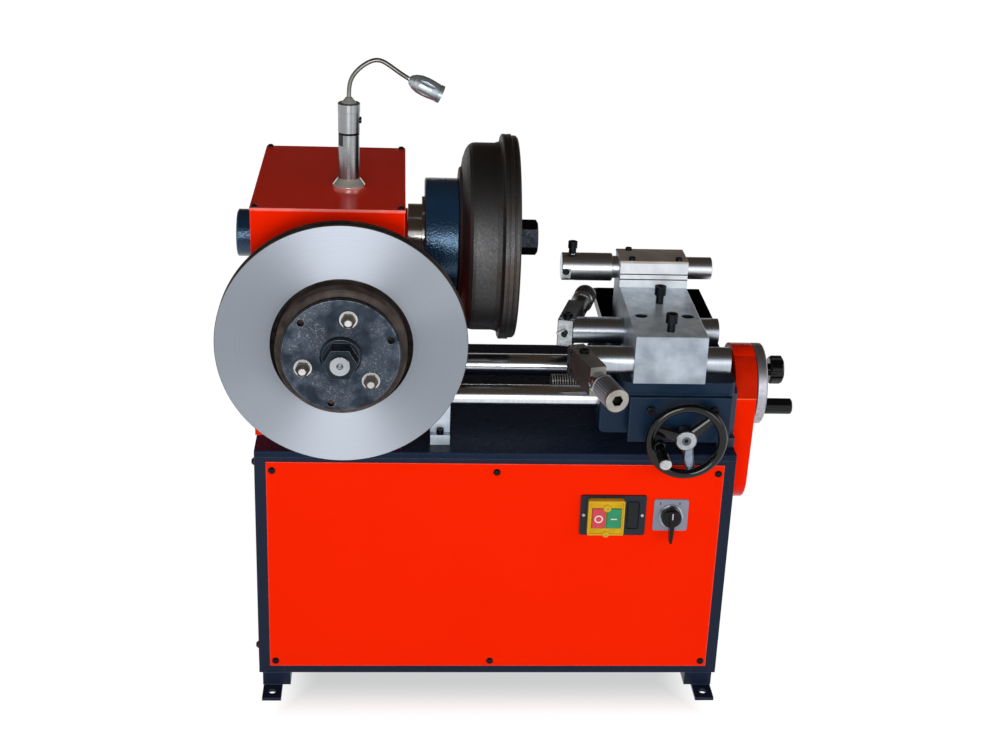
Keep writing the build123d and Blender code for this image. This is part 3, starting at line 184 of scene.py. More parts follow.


# Bare metal: grain drawn out along the cut, smudges in tone and gloss, edges given another tone, partly as
# wear and partly as a painted highlight
def metal(name, dull, bright, rough, grain, depth, smudge=60, edge_mm=0.5, edge_wear_and_highlight=None, metallic=1.0):
    mat, tree, shader, place = surface(name, {"Metallic": metallic})
    # Cutting lines are about a millimetre wide, coarser than real ones, so that they show
    cut = add(tree, "Mapping", {"Vector": place, "Scale": [per_mm(size) for size in grain]})
    lines = add(tree, "TexNoise", {"Vector": cut.outputs["Vector"], "Scale": 1.0, "Detail": 3})
    clouds = add(tree, "TexNoise", {"Vector": place, "Scale": per_mm(smudge), "Detail": 5})
    both = add(tree, "Math", {0: lines.outputs["Fac"], 1: clouds.outputs["Fac"]}, operation="MULTIPLY")
    spread = add(tree, "MapRange", {"Value": both.outputs[0], "From Min": 0.12, "From Max": 0.42})
    tone = add(tree, "Mix", {0: spread.outputs["Result"], 6: colour(dull), 7: colour(bright)},
               data_type="RGBA")
    normal = add(tree, "Bevel", {"Radius": edge_mm / 1000}, samples=4).outputs["Normal"]
    if edge_wear_and_highlight:
        edge = wear_and_highlight_edges(tree, normal)
        tone = add(tree, "Mix", {0: edge, 6: tone.outputs[2], 7: colour(edge_wear_and_highlight)}, data_type="RGBA")
    tree.links.new(tone.outputs[2], shader.inputs["Base Color"])
    gloss = add(tree, "MapRange", {"Value": spread.outputs["Result"], "To Min": rough[1], "To Max": rough[0]})
    tree.links.new(gloss.outputs["Result"], shader.inputs["Roughness"])
    bump = add(tree, "Bump", {"Height": lines.outputs["Fac"], "Distance": depth / 1000, "Normal": normal})
    tree.links.new(bump.outputs["Normal"], shader.inputs["Normal"])
    return mat


# Moulded plastic or phenolic resin: even colour, faint flow marks, fine surface grain
FLOW_MARK = 30
MOULD_EDGE = 0.8
# Grain drawn at 1.2 mm, coarser than a real mould gives, so that it shows
MOULD_GRAIN = 1.2


def moulded(name, deep, bright, gloss, grain, level=0.5):
    mat, tree, shader, place = surface(name, {"IOR": 1.5, "Specular IOR Level": level})
    flow = add(tree, "TexNoise", {"Vector": place, "Scale": per_mm(FLOW_MARK), "Detail": 3})
    tone = add(tree, "Mix", {0: flow.outputs["Fac"], 6: colour(deep), 7: colour(bright)}, data_type="RGBA")
    tree.links.new(tone.outputs[2], shader.inputs["Base Color"])
    rough = add(tree, "MapRange", {"Value": flow.outputs["Fac"], "To Min": gloss, "To Max": gloss + 0.12})
    tree.links.new(rough.outputs["Result"], shader.inputs["Roughness"])
    normal = add(tree, "Bevel", {"Radius": MOULD_EDGE / 1000}, samples=4).outputs["Normal"]
    fine = add(tree, "TexNoise", {"Vector": place, "Scale": per_mm(MOULD_GRAIN), "Detail": 2})
    bump = add(tree, "Bump", {"Height": fine.outputs["Fac"], "Distance": grain / 1000, "Normal": normal})
    tree.links.new(bump.outputs["Normal"], shader.inputs["Normal"])
    return mat


# Semi-gloss navy on the frame, bluer on the slides, deeper on the deck, glossy and lumpy on the castings
navy = enamel("navy_enamel", "#101829", "#172238", "#66748A", 0.34, 0.15)
slide_navy = enamel("blue_slide_enamel", "#0C1D31", "#132A42", "#6A7C90", 0.3, 0.16)
deck = enamel("navy_deck_enamel", "#131D30", "#1D2B43", "#4C5868", 0.26, 0.07)
cast_navy = enamel("navy_cast_enamel", "#12273D", "#1C3B58", "#5C7289", 0.12, 0.95, 0.6,
                   peel_size=3, tint="#A4CAF0")
# Orange-red gloss enamel, its own deep colour tinting what it mirrors, paler along the folds and edges as a
# painted highlight
RED = ("#FB2200", "#FF2500")
RED_TINT = "#FF7050"
red = enamel("orange_red_enamel", *RED, "#FF9C90", 0.2, 0.16, 0.004, 2.2, tint=RED_TINT)
# Matt black paint on sheet, which shows hardly any light
black_sheet = enamel("matt_black_sheet", "#040405", "#090A0B", "#0E0F10", 0.9, 0.0)
# Blackened steel: dark, faintly blue, rubbed bright on corners
black_oxide = metal("black_oxide_steel", "#17191D", "#2C3036", (0.28, 0.5), (3, 3, 3), 0.02, edge_wear_and_highlight="#6A6F76")
# Flange and nut steel: their pale edge tint is partly wear and partly a painted highlight on the rims
scuffed = metal("scuffed_black_steel", "#2B323C", "#424A56", (0.36, 0.56), (40, 40, 40), 0.01, 55, 1.3,
                "#B4B2AE")
blued = metal("blued_nut_steel", "#1B2026", "#30373F", (0.3, 0.42), (3, 3, 3), 0.01, 40, 0.8, "#8A929C")
# Turned steel: bright with fine lines round the shaft; cut gears are greyer under oil
bright = metal("turned_bright_steel", "#A09E9A", "#C4C3C0", (0.14, 0.2), (1.2, 90, 90), 0.0008)
disc_shaft = metal("turned_spindle_steel", "#8A8D92", "#AEB1B5", (0.22, 0.3), (90, 1.2, 90), 0.0008)
gear_steel = metal("oiled_gear_steel", "#6E6C68", "#97958F", (0.25, 0.4), (4, 4, 4), 0.01)
# Zinc plating: pale, slightly milky
zinc = metal("zinc_plated_steel", "#A6A6A4", "#D0D0CE", (0.25, 0.4), (3, 3, 3), 0.01, metallic=0.75)
# Ground and hard chromed bars mirror the room, with faint grinding lines
chrome = metal("hard_chrome_bar", "#BCC1C8", "#E3E7EC", (0.15, 0.22), (0.6, 120, 120), 0.001, 120)
bar_steel = metal("ground_boring_bar", "#B8BCC2", "#CACED4", (0.27, 0.32), (1.2, 120, 120), 0.0004, 90)
# Face-milled aluminium: pale, satin, cloudy with fingered smudges
aluminium = metal("milled_aluminium", "#858F9B", "#B4BFCB", (0.36, 0.5), (40, 2.2, 40), 0.006, 30,
                  metallic=0.25)
supports = metal("milled_support", "#8E99A6", "#C3CCD6", (0.42, 0.56), (40, 2.2, 40), 0.006, 26)
# The riser is painted paler than the block, as painted light making up for the shade it stands in
riser = metal("milled_riser", "#D2DAE2", "#F2F6FA", (0.5, 0.6), (40, 2.2, 40), 0.006, 26, metallic=0.22)
# Cast dial, satin and even; ground steel, warm and dull; machined grey iron, dark
dial_grey = metal("satin_cast_dial", "#9A9AA2", "#B8B8C0", (0.4, 0.55), (6, 6, 6), 0.01)
ground = metal("ground_steel", "#A39A92", "#CFC7BF", (0.42, 0.55), (50, 0.9, 0.9), 0.01, 40, metallic=0.3)
grey_iron = metal("machined_grey_iron", "#4C4C4D", "#6A6A6A", (0.4, 0.6), (5, 5, 5), 0.03)
# Cast iron left as cast: dark grey with a brown bloom and a soft sheen
drum_iron = metal("oxidised_cast_iron", "#434344", "#575758", (0.46, 0.6), (3, 3, 3), 0.03, 110,
                  edge_wear_and_highlight="#544237")
overlay(drum_iron, cloudy(drum_iron, 70, 6, 0.45, 0.75), "#3E3129", "#56483E", 1.0, 0.6)
# Plain bronze, yellow-brown and satin
bronze = metal("plain_bronze", "#8A6A36", "#B98F4E", (0.3, 0.45), (3, 3, 3), 0.01)
# Glossy black resin, dull rubber, satin ABS in its own colours and white print
resin = moulded("black_phenolic_resin", "#060708", "#0C0D10", 0.06, 0.001, 0.28)
rubber = moulded("belt_rubber", "#0B0B0B", "#161616", 0.6, 0.02)
YELLOW = ("#C69B08", "#DAB318")
box_abs = moulded("dark_blue_grey_abs", "#0F151D", "#17202A", 0.35, 0.006, 0.25)
yellow_abs = moulded("yellow_frame_abs", *YELLOW, 0.3, 0.004)
plate_abs = moulded("silver_grey_abs", "#787A8A", "#8C8FA0", 0.3, 0.004)
red_abs = moulded("red_button_abs", "#C23440", "#D44852", 0.25, 0.004)
green_abs = moulded("green_button_abs", "#127A50", "#1F9465", 0.25, 0.004)
window_abs = moulded("black_window_abs", "#07090D", "#0E1219", 0.2, 0.002, 0.25)
white_mark = moulded("white_print", "#E4DAD8", "#F4EEEC", 0.4, 0.002)

# Machined faces of the disc: fine rings that stretch each highlight from hub to rim
DISC_AXIS = (-234, -248, 608)
DISC_INNER = 103.3
DISC_OUTER = 182.2
DISC_HALF = 11.5
DISC_RIBS = 36
disc_iron, tree, shader = surface("turned_disc_iron", {"Metallic": 1.0, "Roughness": 0.44, "Anisotropic": 0.9,
                                                       "Anisotropic Rotation": 0.25})[:3]
disc_x, disc_y, disc_z = measured(disc_iron, DISC_AXIS)
ring = off_axis(disc_iron, disc_x, disc_z)
# Tool marks drawn at 1.6 mm, coarser than the real feed, so that they show
outward = add(tree, "CombineXYZ", {0: ring}).outputs[0]
rings = add(tree, "TexNoise", {"Vector": outward, "Scale": per_mm(1.6), "Detail": 2})
tone = add(tree, "Mix", {0: rings.outputs["Fac"], 6: colour("#888D96"), 7: colour("#989EA7")},
           data_type="RGBA")
tree.links.new(tone.outputs[2], shader.inputs["Base Color"])
tree.links.new(add(tree, "Tangent", direction_type="RADIAL", axis="Y").outputs[0], shader.inputs["Tangent"])
for low, high in ((0, DISC_INNER), (DISC_OUTER, 200)):
    coat(disc_iron, [(ring, low, high)], "#3A3432", "#584F4B", 1.0, 0.6)
coat(disc_iron, [(disc_y, -DISC_HALF, DISC_HALF)], "#2C2624", "#463F3B", 1.0, 0.65)
# Painted shade: the cooling slots between the cast ribs are painted near black; their half width is in
# thousandths of a radian
angle = add(tree, "Math", {0: disc_x, 1: disc_z}, operation="ARCTAN2").outputs[0]
gap = add(tree, "Math", {0: angle, 1: math.pi / DISC_RIBS}, operation="PINGPONG").outputs[0]
coat(disc_iron, [(gap, 30, 100), (ring, 97, DISC_INNER + 0.1), (disc_y, -DISC_HALF - 0.3, DISC_HALF + 0.5)],
     "#080706", "#12100E", 0.0, 0.8)

# Studs: bright ends and washers, and the nuts between painted dark, as painted shade
STUD_NUT_FRONT = -306.3
STUD_NUT_BACK = -297.7
coat(zinc, [(measured(zinc)[1], STUD_NUT_FRONT, STUD_NUT_BACK)], "#2A2725", "#4A443F", 1.0, 0.45)
# Lid screws are sprayed over with the lid
LID_SCREWS_FROM = 700
lid_screws = metal("black_oxide_screws", "#101215", "#24272C", (0.28, 0.5), (3, 3, 3), 0.02, edge_wear_and_highlight="#5A5F66")
coat(lid_screws, [(measured(lid_screws)[2], LID_SCREWS_FROM, 900)], *RED, 0.0, 0.25)

# Scuffs through the black of the disc flange: darker where the black is kept, specked where it is rubbed
WEAR_PATCH = 26
SPECK = 2
overlay(scuffed, cloudy(scuffed, WEAR_PATCH, 3, 0.52, 0.36), "#1E242C", "#2C333D", 1.0, 0.45)
specks = cloudy(scuffed, SPECK, 6, 0.54, 0.68)
rubbed = cloudy(scuffed, WEAR_PATCH, 3, 0.42, 0.62)
both = add(scuffed.node_tree, "Math", {0: specks, 1: rubbed}, operation="MULTIPLY")
overlay(scuffed, both.outputs[0], "#605F5E", "#827E7A", 1.0, 0.5)
# Black set screw on the head of the boring bar
BORING_BAR_TOP = 657.2
coat(bar_steel, [(measured(bar_steel)[2], BORING_BAR_TOP, 700)], "#121417", "#25282C", 1.0, 0.4)
# The right bar support is painted with the frame
RIGHT_SUPPORT_FROM = 300
coat(supports, [(measured(supports)[0], RIGHT_SUPPORT_FROM, 500)], "#121A2B", "#1A263D", 0.0, 0.4)

# Handwheel: gloss black, with a machined hub face; the lower spoke alone is given bright metal, as a painted
# reflection
WHEEL_AXIS = (281, -253, 459)
HUB_R = 16.5
wheel_resin = moulded("black_handwheel_resin", "#050607", "#0A0B0D", 0.03, 0.001, 0.32)
wheel_x, wheel_y, wheel_z = measured(wheel_resin, WHEEL_AXIS)
hub = off_axis(wheel_resin, wheel_x, wheel_z)
coat(wheel_resin, [(hub, 0, HUB_R), (wheel_y, -3, 0.4)], "#8C9095", "#B9BCC0", 1.0, 0.3)
# Painted reflection: bright metal on the lower spoke only
coat(wheel_resin, [(hub, HUB_R, 49), (wheel_x, 0, 20), (wheel_z, -60, -10), (wheel_y, 0, 12)],
     "#64707E", "#98A5B4", 1.0, 0.3)
# Grip of the same resin with a bright end; screw end with a dark centre disc, painted shade standing for a
# centre hole
GRIP_END_FROM = -316.6
CENTRE_HOLE_R = 3.2
grip_resin = moulded("black_grip_resin", "#050607", "#0A0B0D", 0.04, 0.001, 0.14)
coat(grip_resin, [(measured(grip_resin)[1], -330, GRIP_END_FROM)], "#8E9093", "#D0D2D4", 1.0, 0.25)
screw_end = metal("black_screw_end", "#6E7276", "#A9ADB2", (0.2, 0.35), (0.8, 90, 90), 0.01)
screw_x, screw_y, screw_z = measured(screw_end, WHEEL_AXIS)
end_face = (screw_y, -3, 3)
coat(screw_end, [end_face], "#4A4E52", "#6A6E72", 1.0, 0.35)
# Painted shade: the dark disc in the middle of the end face
coat(screw_end, [end_face, (off_axis(screw_end, screw_x, screw_z), 0, CENTRE_HOLE_R)],
     "#101214", "#26292D", 1.0, 0.5)

# Lamp: satin tube, polished foot, dark seam, and a dark patch painted as shade at the pocket clip seat
LAMP_AXIS = (-230, -46, 0)
FOOT_TOP = 798.2
SEAM_LOW = 865.8
SEAM_HIGH = 869.2
CONE_FROM = 913.2
lamp_satin = metal("brushed_lamp_tube", "#8A8B8E", "#9C9EA0", (0.2, 0.26), (30, 30, 2), 0.0004)
lamp_x, lamp_y, lamp_z = measured(lamp_satin, LAMP_AXIS)
coat(lamp_satin, [(lamp_z, 780, FOOT_TOP)], "#DAD8D2", "#F2F0EA", 0.72, 0.13)
coat(lamp_satin, [(lamp_z, CONE_FROM, 930)], "#92928E", "#B2B2AE", 0.5, 0.4)
coat(lamp_satin, [(lamp_z, SEAM_LOW, SEAM_HIGH)], "#0E0F10", "#1E1F21", 1.0, 0.5)
# Painted shade: dark patch at the pocket clip seat
coat(lamp_satin, [(lamp_z, 849, 866), (lamp_x, -20, -8.5), (lamp_y, -20, -3)], "#101213", "#1C1F20", 0.0, 0.5)
# Neck of wound steel, dull; the lamp's head is paler
HEAD_FROM = -142
neck_steel = metal("wound_steel_neck", "#5E5E59", "#82827C", (0.3, 0.42), (0.9, 0.9, 0.9), 0.02)
coat(neck_steel, [(measured(neck_steel)[0], HEAD_FROM, -60)], "#8E989E", "#AEB8BE", 0.7, 0.34)

# Switch box with its yellow frame, selector with a bright ring, pale pointer on the knob
BOX_FACE = -226.2
SELECTOR = (272, -230, 318.5)
coat(box_abs, [(measured(box_abs)[1], -250, BOX_FACE)], *YELLOW, 0.0, 0.3)
coat(plate_abs, [(measured(plate_abs, SELECTOR)[1], -10, 4.6)], "#7C848C", "#C9D0D6", 1.0, 0.14)
knob_resin = moulded("black_selector_resin", "#060708", "#0C0D10", 0.1, 0.002, 0.2)
knob_x, knob_y, knob_z = measured(knob_resin, SELECTOR)
coat(knob_resin, [(knob_x, -0.9, 0.9), (knob_z, 2, 12.5), (knob_y, -20, -14)], "#B9B4BC", "#D8D4DA", 0.0, 0.3)

# The milled top of the tool block is smoother than its sides and painted paler, as painted light on the top
# face; its bored holes are painted dark inside, as painted shade
BLOCK_TOP = 611
HOLE_R = 9.3
height = measured(aluminium)[2]
coat(aluminium, [(height, BLOCK_TOP - 0.4, BLOCK_TOP + 0.4)], "#B6C6D6", "#E4EFFA", 0.3, 0.3)
for x in (219, 291):
    hole_x, hole_y = measured(aluminium, (x, -125, 0))[:2]
    coat(aluminium, [(off_axis(aluminium, hole_x, hole_y), 0, HOLE_R), (height, 500, BLOCK_TOP - 0.5)],
         "#2A323A", "#414B55", 0.6, 0.3)
# Dark seams between the plates of the clamp riser
for low, high in ((623.6, 625.4), (632.3, 634.1)):
    coat(riser, [(measured(riser)[2], low, high)], "#23262A", "#3C4147", 1.0, 0.5)

# Feed cover: painted shade on its upper part, which leans back, and a painted highlight on the fold below it
FOLD_LOW = 484.8
FOLD_HIGH = 486.6
cover_red = enamel("orange_red_cover", *RED, "#FF7A64", 0.24, 0.16, 0.004, tint=RED_TINT)
cover_y, cover_z = measured(cover_red)[1:]
cover_front = (cover_y, -170, -120)
coat(cover_red, [(cover_z, FOLD_HIGH, 700), cover_front], "#BC1C04", "#CC2006", 0.0, 0.3)
coat(cover_red, [(cover_z, FOLD_LOW, FOLD_HIGH), cover_front], "#FF5A34", "#FF7048", 0.0, 0.3)
# Headstock lid: its front edge painted pale, as a painted highlight
LID_EDGE = -163.1
lid_red = enamel("orange_red_lid", *RED, "#FF7A64", 0.18, 0.12, 0.004, tint=RED_TINT)
coat(lid_red, [(measured(lid_red)[1], -170, LID_EDGE)], "#FF6E66", "#FF8C84", 0.0, 0.3)

# Arms are gunmetal, their bars chromed, their barrels turned bright with division lines; the front arm's
# tones are painted lighter and the rear arm's darker, as painted light and shade
ARM_TURN = 74
ARM_HEIGHT = 564
ARM_HALF = 12.7
ARM_FROM = 5
ARM_TO = 92.2
ARM_TOP = 22.1
BARREL_R = 15.4
DIVISION = 2
SOCKET_R = 8.6
ARMS = {
    "front": {"start": (113.5, -184, ARM_HEIGHT), "side": -1, "barrel": 104, "end": 166,
              "thimble_tones_painted_light": ("#A2A6AE", "#CACED6"), "barrel_tones_painted_light": ("#8E9196", "#B4B7BB"),
              "arm_tones_painted_light": ("#7A7874", "#96948E"), "side_tones_painted_shade": ("#3C3230", "#524644"),
              "valley_tones_painted_shade": ("#5A5B60", "#6E7076")},
    "rear": {"start": (107.3, -86.2, ARM_HEIGHT), "side": 1, "barrel": 140, "end": 182,
             "thimble_tones_painted_light": ("#4E4E50", "#727274"), "barrel_tones_painted_light": ("#3E4042", "#585A5C"),
             "arm_tones_painted_light": ("#464748", "#606162"), "side_tones_painted_shade": ("#464748", "#606162"),
             "valley_tones_painted_shade": ("#1C1C1D", "#282829")},
}
arm_finish = {}
tip_finish = {}
thimble_finish = {}
for name, arm in ARMS.items():
    turn = arm["side"] * ARM_TURN
    mat = metal(f"{name}_bar_chrome", "#A2A9B2", "#BCC3CB", (0.27, 0.33), (1.2, 120, 120), 0.0004, 120)
    along, across, up = measured(mat, arm["start"], turn)
    reach = off_axis(mat, across, up)
    length = (along, ARM_FROM, ARM_TO)
    width = (across, -ARM_HALF, ARM_HALF)
    coat(mat, [width, length], *arm["arm_tones_painted_light"], 0.6, 0.48)
    # Painted shade on the left side face of the arm
    coat(mat, [(across, -ARM_HALF, 0.4 - ARM_HALF), length], *arm["side_tones_painted_shade"], 0.5, 0.5)
    coat(mat, [width, length, (up, ARM_TOP, 40)], "#101214", "#22252A", 1.0, 0.4)
    barrel = (along, ARM_TO - 0.1, 200)
    coat(mat, [(reach, 0, BARREL_R), barrel], *arm["barrel_tones_painted_light"], 1.0, 0.34)
    step = add(mat.node_tree, "Math", {0: along, 1: DIVISION / 1000}, operation="PINGPONG").outputs[0]
    coat(mat, [(step, -1, 0.25), (reach, 14, BARREL_R), barrel, (up, 0, 20)], "#141516", "#202122", 0.0, 0.5)
    arm_finish[name] = mat
    # Cutter tips: bright insert on a darker shank
    mat = metal(f"{name}_tip_steel", "#7C7F83", "#B9BCC0", (0.2, 0.36), (6, 6, 6), 0.01, edge_wear_and_highlight="#D5D7D9")
    along = measured(mat, arm["start"], turn)[0]
    coat(mat, [(along, -6, -0.05)], "#8E9092", "#C2C4C6", 1.0, 0.3)
    tip_finish[name] = mat
    # Thimbles: satin steel with a bright collar, and painted shade in the valleys of the knurl and inside the
    # socket
    mat = metal(f"{name}_thimble_steel", *arm["thimble_tones_painted_light"], (0.42, 0.58), (3, 3, 3), 0.01)
    along, across, up = measured(mat, arm["start"], turn)
    reach = off_axis(mat, across, up)
    seat = arm["barrel"]
    end = arm["end"]
    coat(mat, [(along, end - 6, end + 1)], "#86827C", "#A8A49E", 1.0, 0.42)
    coat(mat, [(along, end - 11, end - 0.4), (reach, 0, SOCKET_R + 0.1)], "#14120F", "#2A2622", 1.0, 0.5)
    coat(mat, [(along, seat, seat + 10)], "#9A9C9E", "#C2C4C6", 1.0, 0.3)
    coat(mat, [(along, seat + 11, end - 7), (reach, 10, 17.3)], *arm["valley_tones_painted_shade"], 1.0, 0.6)
    thimble_finish[name] = mat

FINISHES = {
    navy: ["cabinet_frame", "mounting_feet", "main_motor"],
    slide_navy: ["saddle", "cross_table"],
    deck: ["top_plate"],
    cast_navy: ["drum_adapter", "bearing_caps"],
    red: ["cabinet_panels", "headstock_housing"],
    lid_red: ["headstock_cover"],
    cover_red: ["feed_cover"],
    black_sheet: ["chip_guard"],
    black_oxide: ["block_screws", "drum_nut"],
    blued: ["disc_nut"],
    lid_screws: ["machine_screws"],
    scuffed: ["disc_flange"],
    bright: ["drum_spindle", "lead_screw", "spindle_bearings"],
    disc_shaft: ["disc_spindle"],
    screw_end: ["cross_screw"],
    tip_finish["front"]: ["front_cutter"],
    tip_finish["rear"]: ["rear_cutter"],
    gear_steel: ["drum_gear", "bevel_gear", "countershaft"],
    zinc: ["flange_studs"],
    chrome: ["guide_bars"],
    bar_steel: ["boring_bar"],
    arm_finish["front"]: ["front_tool_bar"],
    arm_finish["rear"]: ["rear_tool_bar"],
    aluminium: ["tool_block", "feed_gearmotor"],
    supports: ["bar_supports"],
    riser: ["bar_clamp"],
    dial_grey: ["feed_wheel"],
    lamp_satin: ["lamp_tube"],
    neck_steel: ["lamp_neck"],
    ground: ["clamp_cap"],
    grey_iron: ["counter_pulley", "motor_pulley", "feed_drive_pulley"],
    drum_iron: ["brake_drum"],
    disc_iron: ["brake_disc"],
    bronze: ["saddle_bushes"],
    thimble_finish["front"]: ["front_thimble"],
    thimble_finish["rear"]: ["rear_thimble"],
    wheel_resin: ["handwheel"],
    grip_resin: ["wheel_grip"],
    knob_resin: ["selector_knob"],
    resin: ["feed_crank", "clutch_knob", "lamp_button"],
    rubber: ["drive_belts"],
    box_abs: ["switch_box"],
    plate_abs: ["selector_plate"],
    red_abs: ["stop_button"],
    green_abs: ["start_button"],
}
for finish, names in FINISHES.items():
    for name in names:
        nodes[name].data.materials.clear()
        nodes[name].data.materials.append(finish)

# Points closer than this in millimetres become one
MERGE = 0.004


# Closes a mesh drawn in millimetres, gives it its finish and sets it on its body
def piece(name, bm, finish, body):
    bmesh.ops.remove_doubles(bm, verts=bm.verts, dist=MERGE)
    bmesh.ops.recalc_face_normals(bm, faces=bm.faces)
    bmesh.ops.scale(bm, vec=(0.001, 0.001, 0.001), verts=bm.verts)
    mesh = bpy.data.meshes.new(name)
    bm.to_mesh(mesh)
    bm.free()
    mesh.materials.append(finish)
    mesh.set_sharp_from_angle(angle=math.radians(35))
    obj = bpy.data.objects.new(name, mesh)
    bpy.context.scene.collection.objects.link(obj)
    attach(obj, body)
    return obj


# Turns a half outline of (distance along X, radius) points about the X axis
def turned(bm, outline, steps=48):
    verts = [bm.verts.new((along, 0, reach)) for along, reach in outline]
    edges = [bm.edges.new(pair) for pair in zip(verts, verts[1:])]
    bmesh.ops.spin(bm, geom=verts + edges, cent=(0, 0, 0), axis=(1, 0, 0), angle=2 * math.pi, steps=steps,
                   use_merge=True)
    bmesh.ops.remove_doubles(bm, verts=bm.verts, dist=MERGE)


# Adds a finished part to the mesh of a piece
def join(bm, part):
    mesh = bpy.data.meshes.new("part")
    part.to_mesh(mesh)
    part.free()
    bm.from_mesh(mesh)
    bpy.data.meshes.remove(mesh)


# Adds a part turned about X, faced the right way and set in its place
def add_turned(bm, outline, steps, facing, place):
    part = bmesh.new()
    turned(part, outline, steps)
    bmesh.ops.rotate(part, cent=(0, 0, 0), verts=part.verts, matrix=facing)
    bmesh.ops.translate(part, vec=place, verts=part.verts)
    join(bm, part)


# Small round-headed screw with a sunk socket, its head looking along -X before it is faced
def small_screw(bm, reach, height, place, facing):
    outline = [(0, 0), (0, reach), (-0.4 * height, reach), (-height, 0.7 * reach), (-height, 0.45 * reach),
               (-0.3 * height, 0.4 * reach), (-0.3 * height, 0)]
    add_turned(bm, outline, 24, facing, place)


# Plate with rounded corners, thin along Y
def rounded_plate(width, height, depth, corner, segments):
    bm = bmesh.new()
    bmesh.ops.create_cube(bm, size=1)
    bmesh.ops.scale(bm, vec=(width, depth, height), verts=bm.verts)
    upright = [edge for edge in bm.edges if abs((edge.verts[0].co - edge.verts[1].co).y) > 0.5 * depth]
    bmesh.ops.bevel(bm, geom=upright, offset=corner, segments=segments, profile=0.5, affect="EDGES",
                    material=-1)
    bm.normal_update()
    return bm


FACING_FRONT = Matrix.Rotation(math.pi / 2, 3, "Z")
FACING_UP = Matrix.Rotation(math.pi / 2, 3, "Y")

# Lead screw with its cut thread, darker between the crests, and the feed pulley
LEAD_AXIS = (0, -92, 486)
PITCH = 4
TURN_STEPS = 24
TURNS = 66
SPIN_FROM = 80
THREAD_FROM = 87.5
THREAD_TO = 338
ROOT_R = 8.4
CREST_R = 11
DARK_ROOT_R = 10.2
SHAFT_R = 9.95
SHAFT_END = 418
PULLEY_R = 50
GROOVE_R = 43
thread_steel = metal("thread_steel_dark_roots", "#B4B4B2", "#D2D2D0", (0.3, 0.4), (4, 90, 90), 0.001, metallic=0.7)
lead_x, lead_y, lead_z = measured(thread_steel, LEAD_AXIS)
dark_root = (off_axis(thread_steel, lead_y, lead_z), 0, DARK_ROOT_R)
coat(thread_steel, [dark_root, (lead_x, THREAD_FROM + 0.5, THREAD_TO)], "#12100C", "#1E1A14", 0.0, 0.4)
bm = bmesh.new()
groove = [(0, ROOT_R), (0.5, ROOT_R), (1.2, CREST_R), (2.8, CREST_R), (3.5, ROOT_R), (PITCH, ROOT_R)]
verts = [bm.verts.new((SPIN_FROM + along, 0, reach)) for along, reach in groove]
edges = [bm.edges.new(pair) for pair in zip(verts, verts[1:])]
bmesh.ops.spin(bm, geom=verts + edges, cent=(0, 0, 0), axis=(1, 0, 0), dvec=(PITCH / TURN_STEPS, 0, 0),
               angle=2 * math.pi * TURNS, steps=TURN_STEPS * TURNS)
bmesh.ops.remove_doubles(bm, verts=bm.verts, dist=MERGE)
for cut, out in ((THREAD_FROM, -1), (THREAD_TO, 1)):
    geom = bm.verts[:] + bm.edges[:] + bm.faces[:]
    bmesh.ops.bisect_plane(bm, geom=geom, plane_co=(cut, 0, 0), plane_no=(out, 0, 0), clear_outer=True)
bmesh.ops.holes_fill(bm, edges=[edge for edge in bm.edges if edge.is_boundary], sides=0)
turned(bm, [(THREAD_TO, 0), (THREAD_TO, SHAFT_R), (375, SHAFT_R), (375, PULLEY_R), (378.5, PULLEY_R),
            (380.8, GROOVE_R), (391.2, GROOVE_R), (393.5, PULLEY_R), (397, PULLEY_R), (397, SHAFT_R),
            (SHAFT_END, SHAFT_R), (SHAFT_END, 0)])
bmesh.ops.translate(bm, vec=LEAD_AXIS, verts=bm.verts)
thread = piece("lead_screw_thread", bm, thread_steel, "feed_screw")
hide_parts("lead_screw")

# Knurled micrometer thimbles with a hexagon socket in the end
SCREW_R = 5
SCREW_FROM = 32
COLLAR_R = 18
KNURL_R = 17
KNURL_STEP = 3.8
KNURL_SIDES = 28
KNURL_RISE = 1.1
SOCKET_DEPTH = 10
FACING_END = Matrix.Rotation(math.pi / 2, 4, "Y")
for name, arm in ARMS.items():
    seat = arm["barrel"] + 0.3
    end = arm["end"]
    knurl_from = seat + 11
    knurl_to = end - 7
    rows = round((knurl_to - knurl_from) / KNURL_STEP)
    outline = [(SCREW_FROM, 0), (SCREW_FROM, SCREW_R), (seat, SCREW_R), (seat, 16), (seat + 3.7, COLLAR_R),
               (seat + 10, COLLAR_R), (knurl_from, KNURL_R)]
    for row in range(1, rows + 1):
        outline.append((knurl_from + row * (knurl_to - knurl_from) / rows, KNURL_R))
    outline += [(end - 6, COLLAR_R), (end - 1, COLLAR_R), (end, COLLAR_R - 1)]
    bm = bmesh.new()
    turned(bm, outline, KNURL_SIDES)
    bmesh.ops.recalc_face_normals(bm, faces=bm.faces)
    knurl = [face for face in bm.faces if knurl_from < face.calc_center_median().x < knurl_to]
    bmesh.ops.poke(bm, faces=knurl, offset=KNURL_RISE)
    mouth = [edge for edge in bm.edges if edge.is_boundary]
    socket = bmesh.ops.create_circle(bm, segments=6, radius=SOCKET_R,
                                     matrix=Matrix.Translation((end, 0, 0)) @ FACING_END)["verts"]
    rim = list({edge for vert in socket for edge in vert.link_edges})
    deep = bmesh.ops.extrude_edge_only(bm, edges=rim)["geom"]
    sunk = [part for part in deep if isinstance(part, bmesh.types.BMVert)]
    bmesh.ops.translate(bm, vec=(-SOCKET_DEPTH, 0, 0), verts=sunk)
    bmesh.ops.contextual_create(bm, geom=sunk)
    bmesh.ops.bridge_loops(bm, edges=mouth + rim)
    bmesh.ops.rotate(bm, cent=(0, 0, 0), verts=bm.verts,
                     matrix=Matrix.Rotation(math.radians(arm["side"] * ARM_TURN), 3, "Z"))
    bmesh.ops.translate(bm, vec=arm["start"], verts=bm.verts)
    thimble = piece(f"{name}_knurled_thimble", bm, thimble_finish[name], f"{name}_dial")
    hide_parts(f"{name}_thimble")

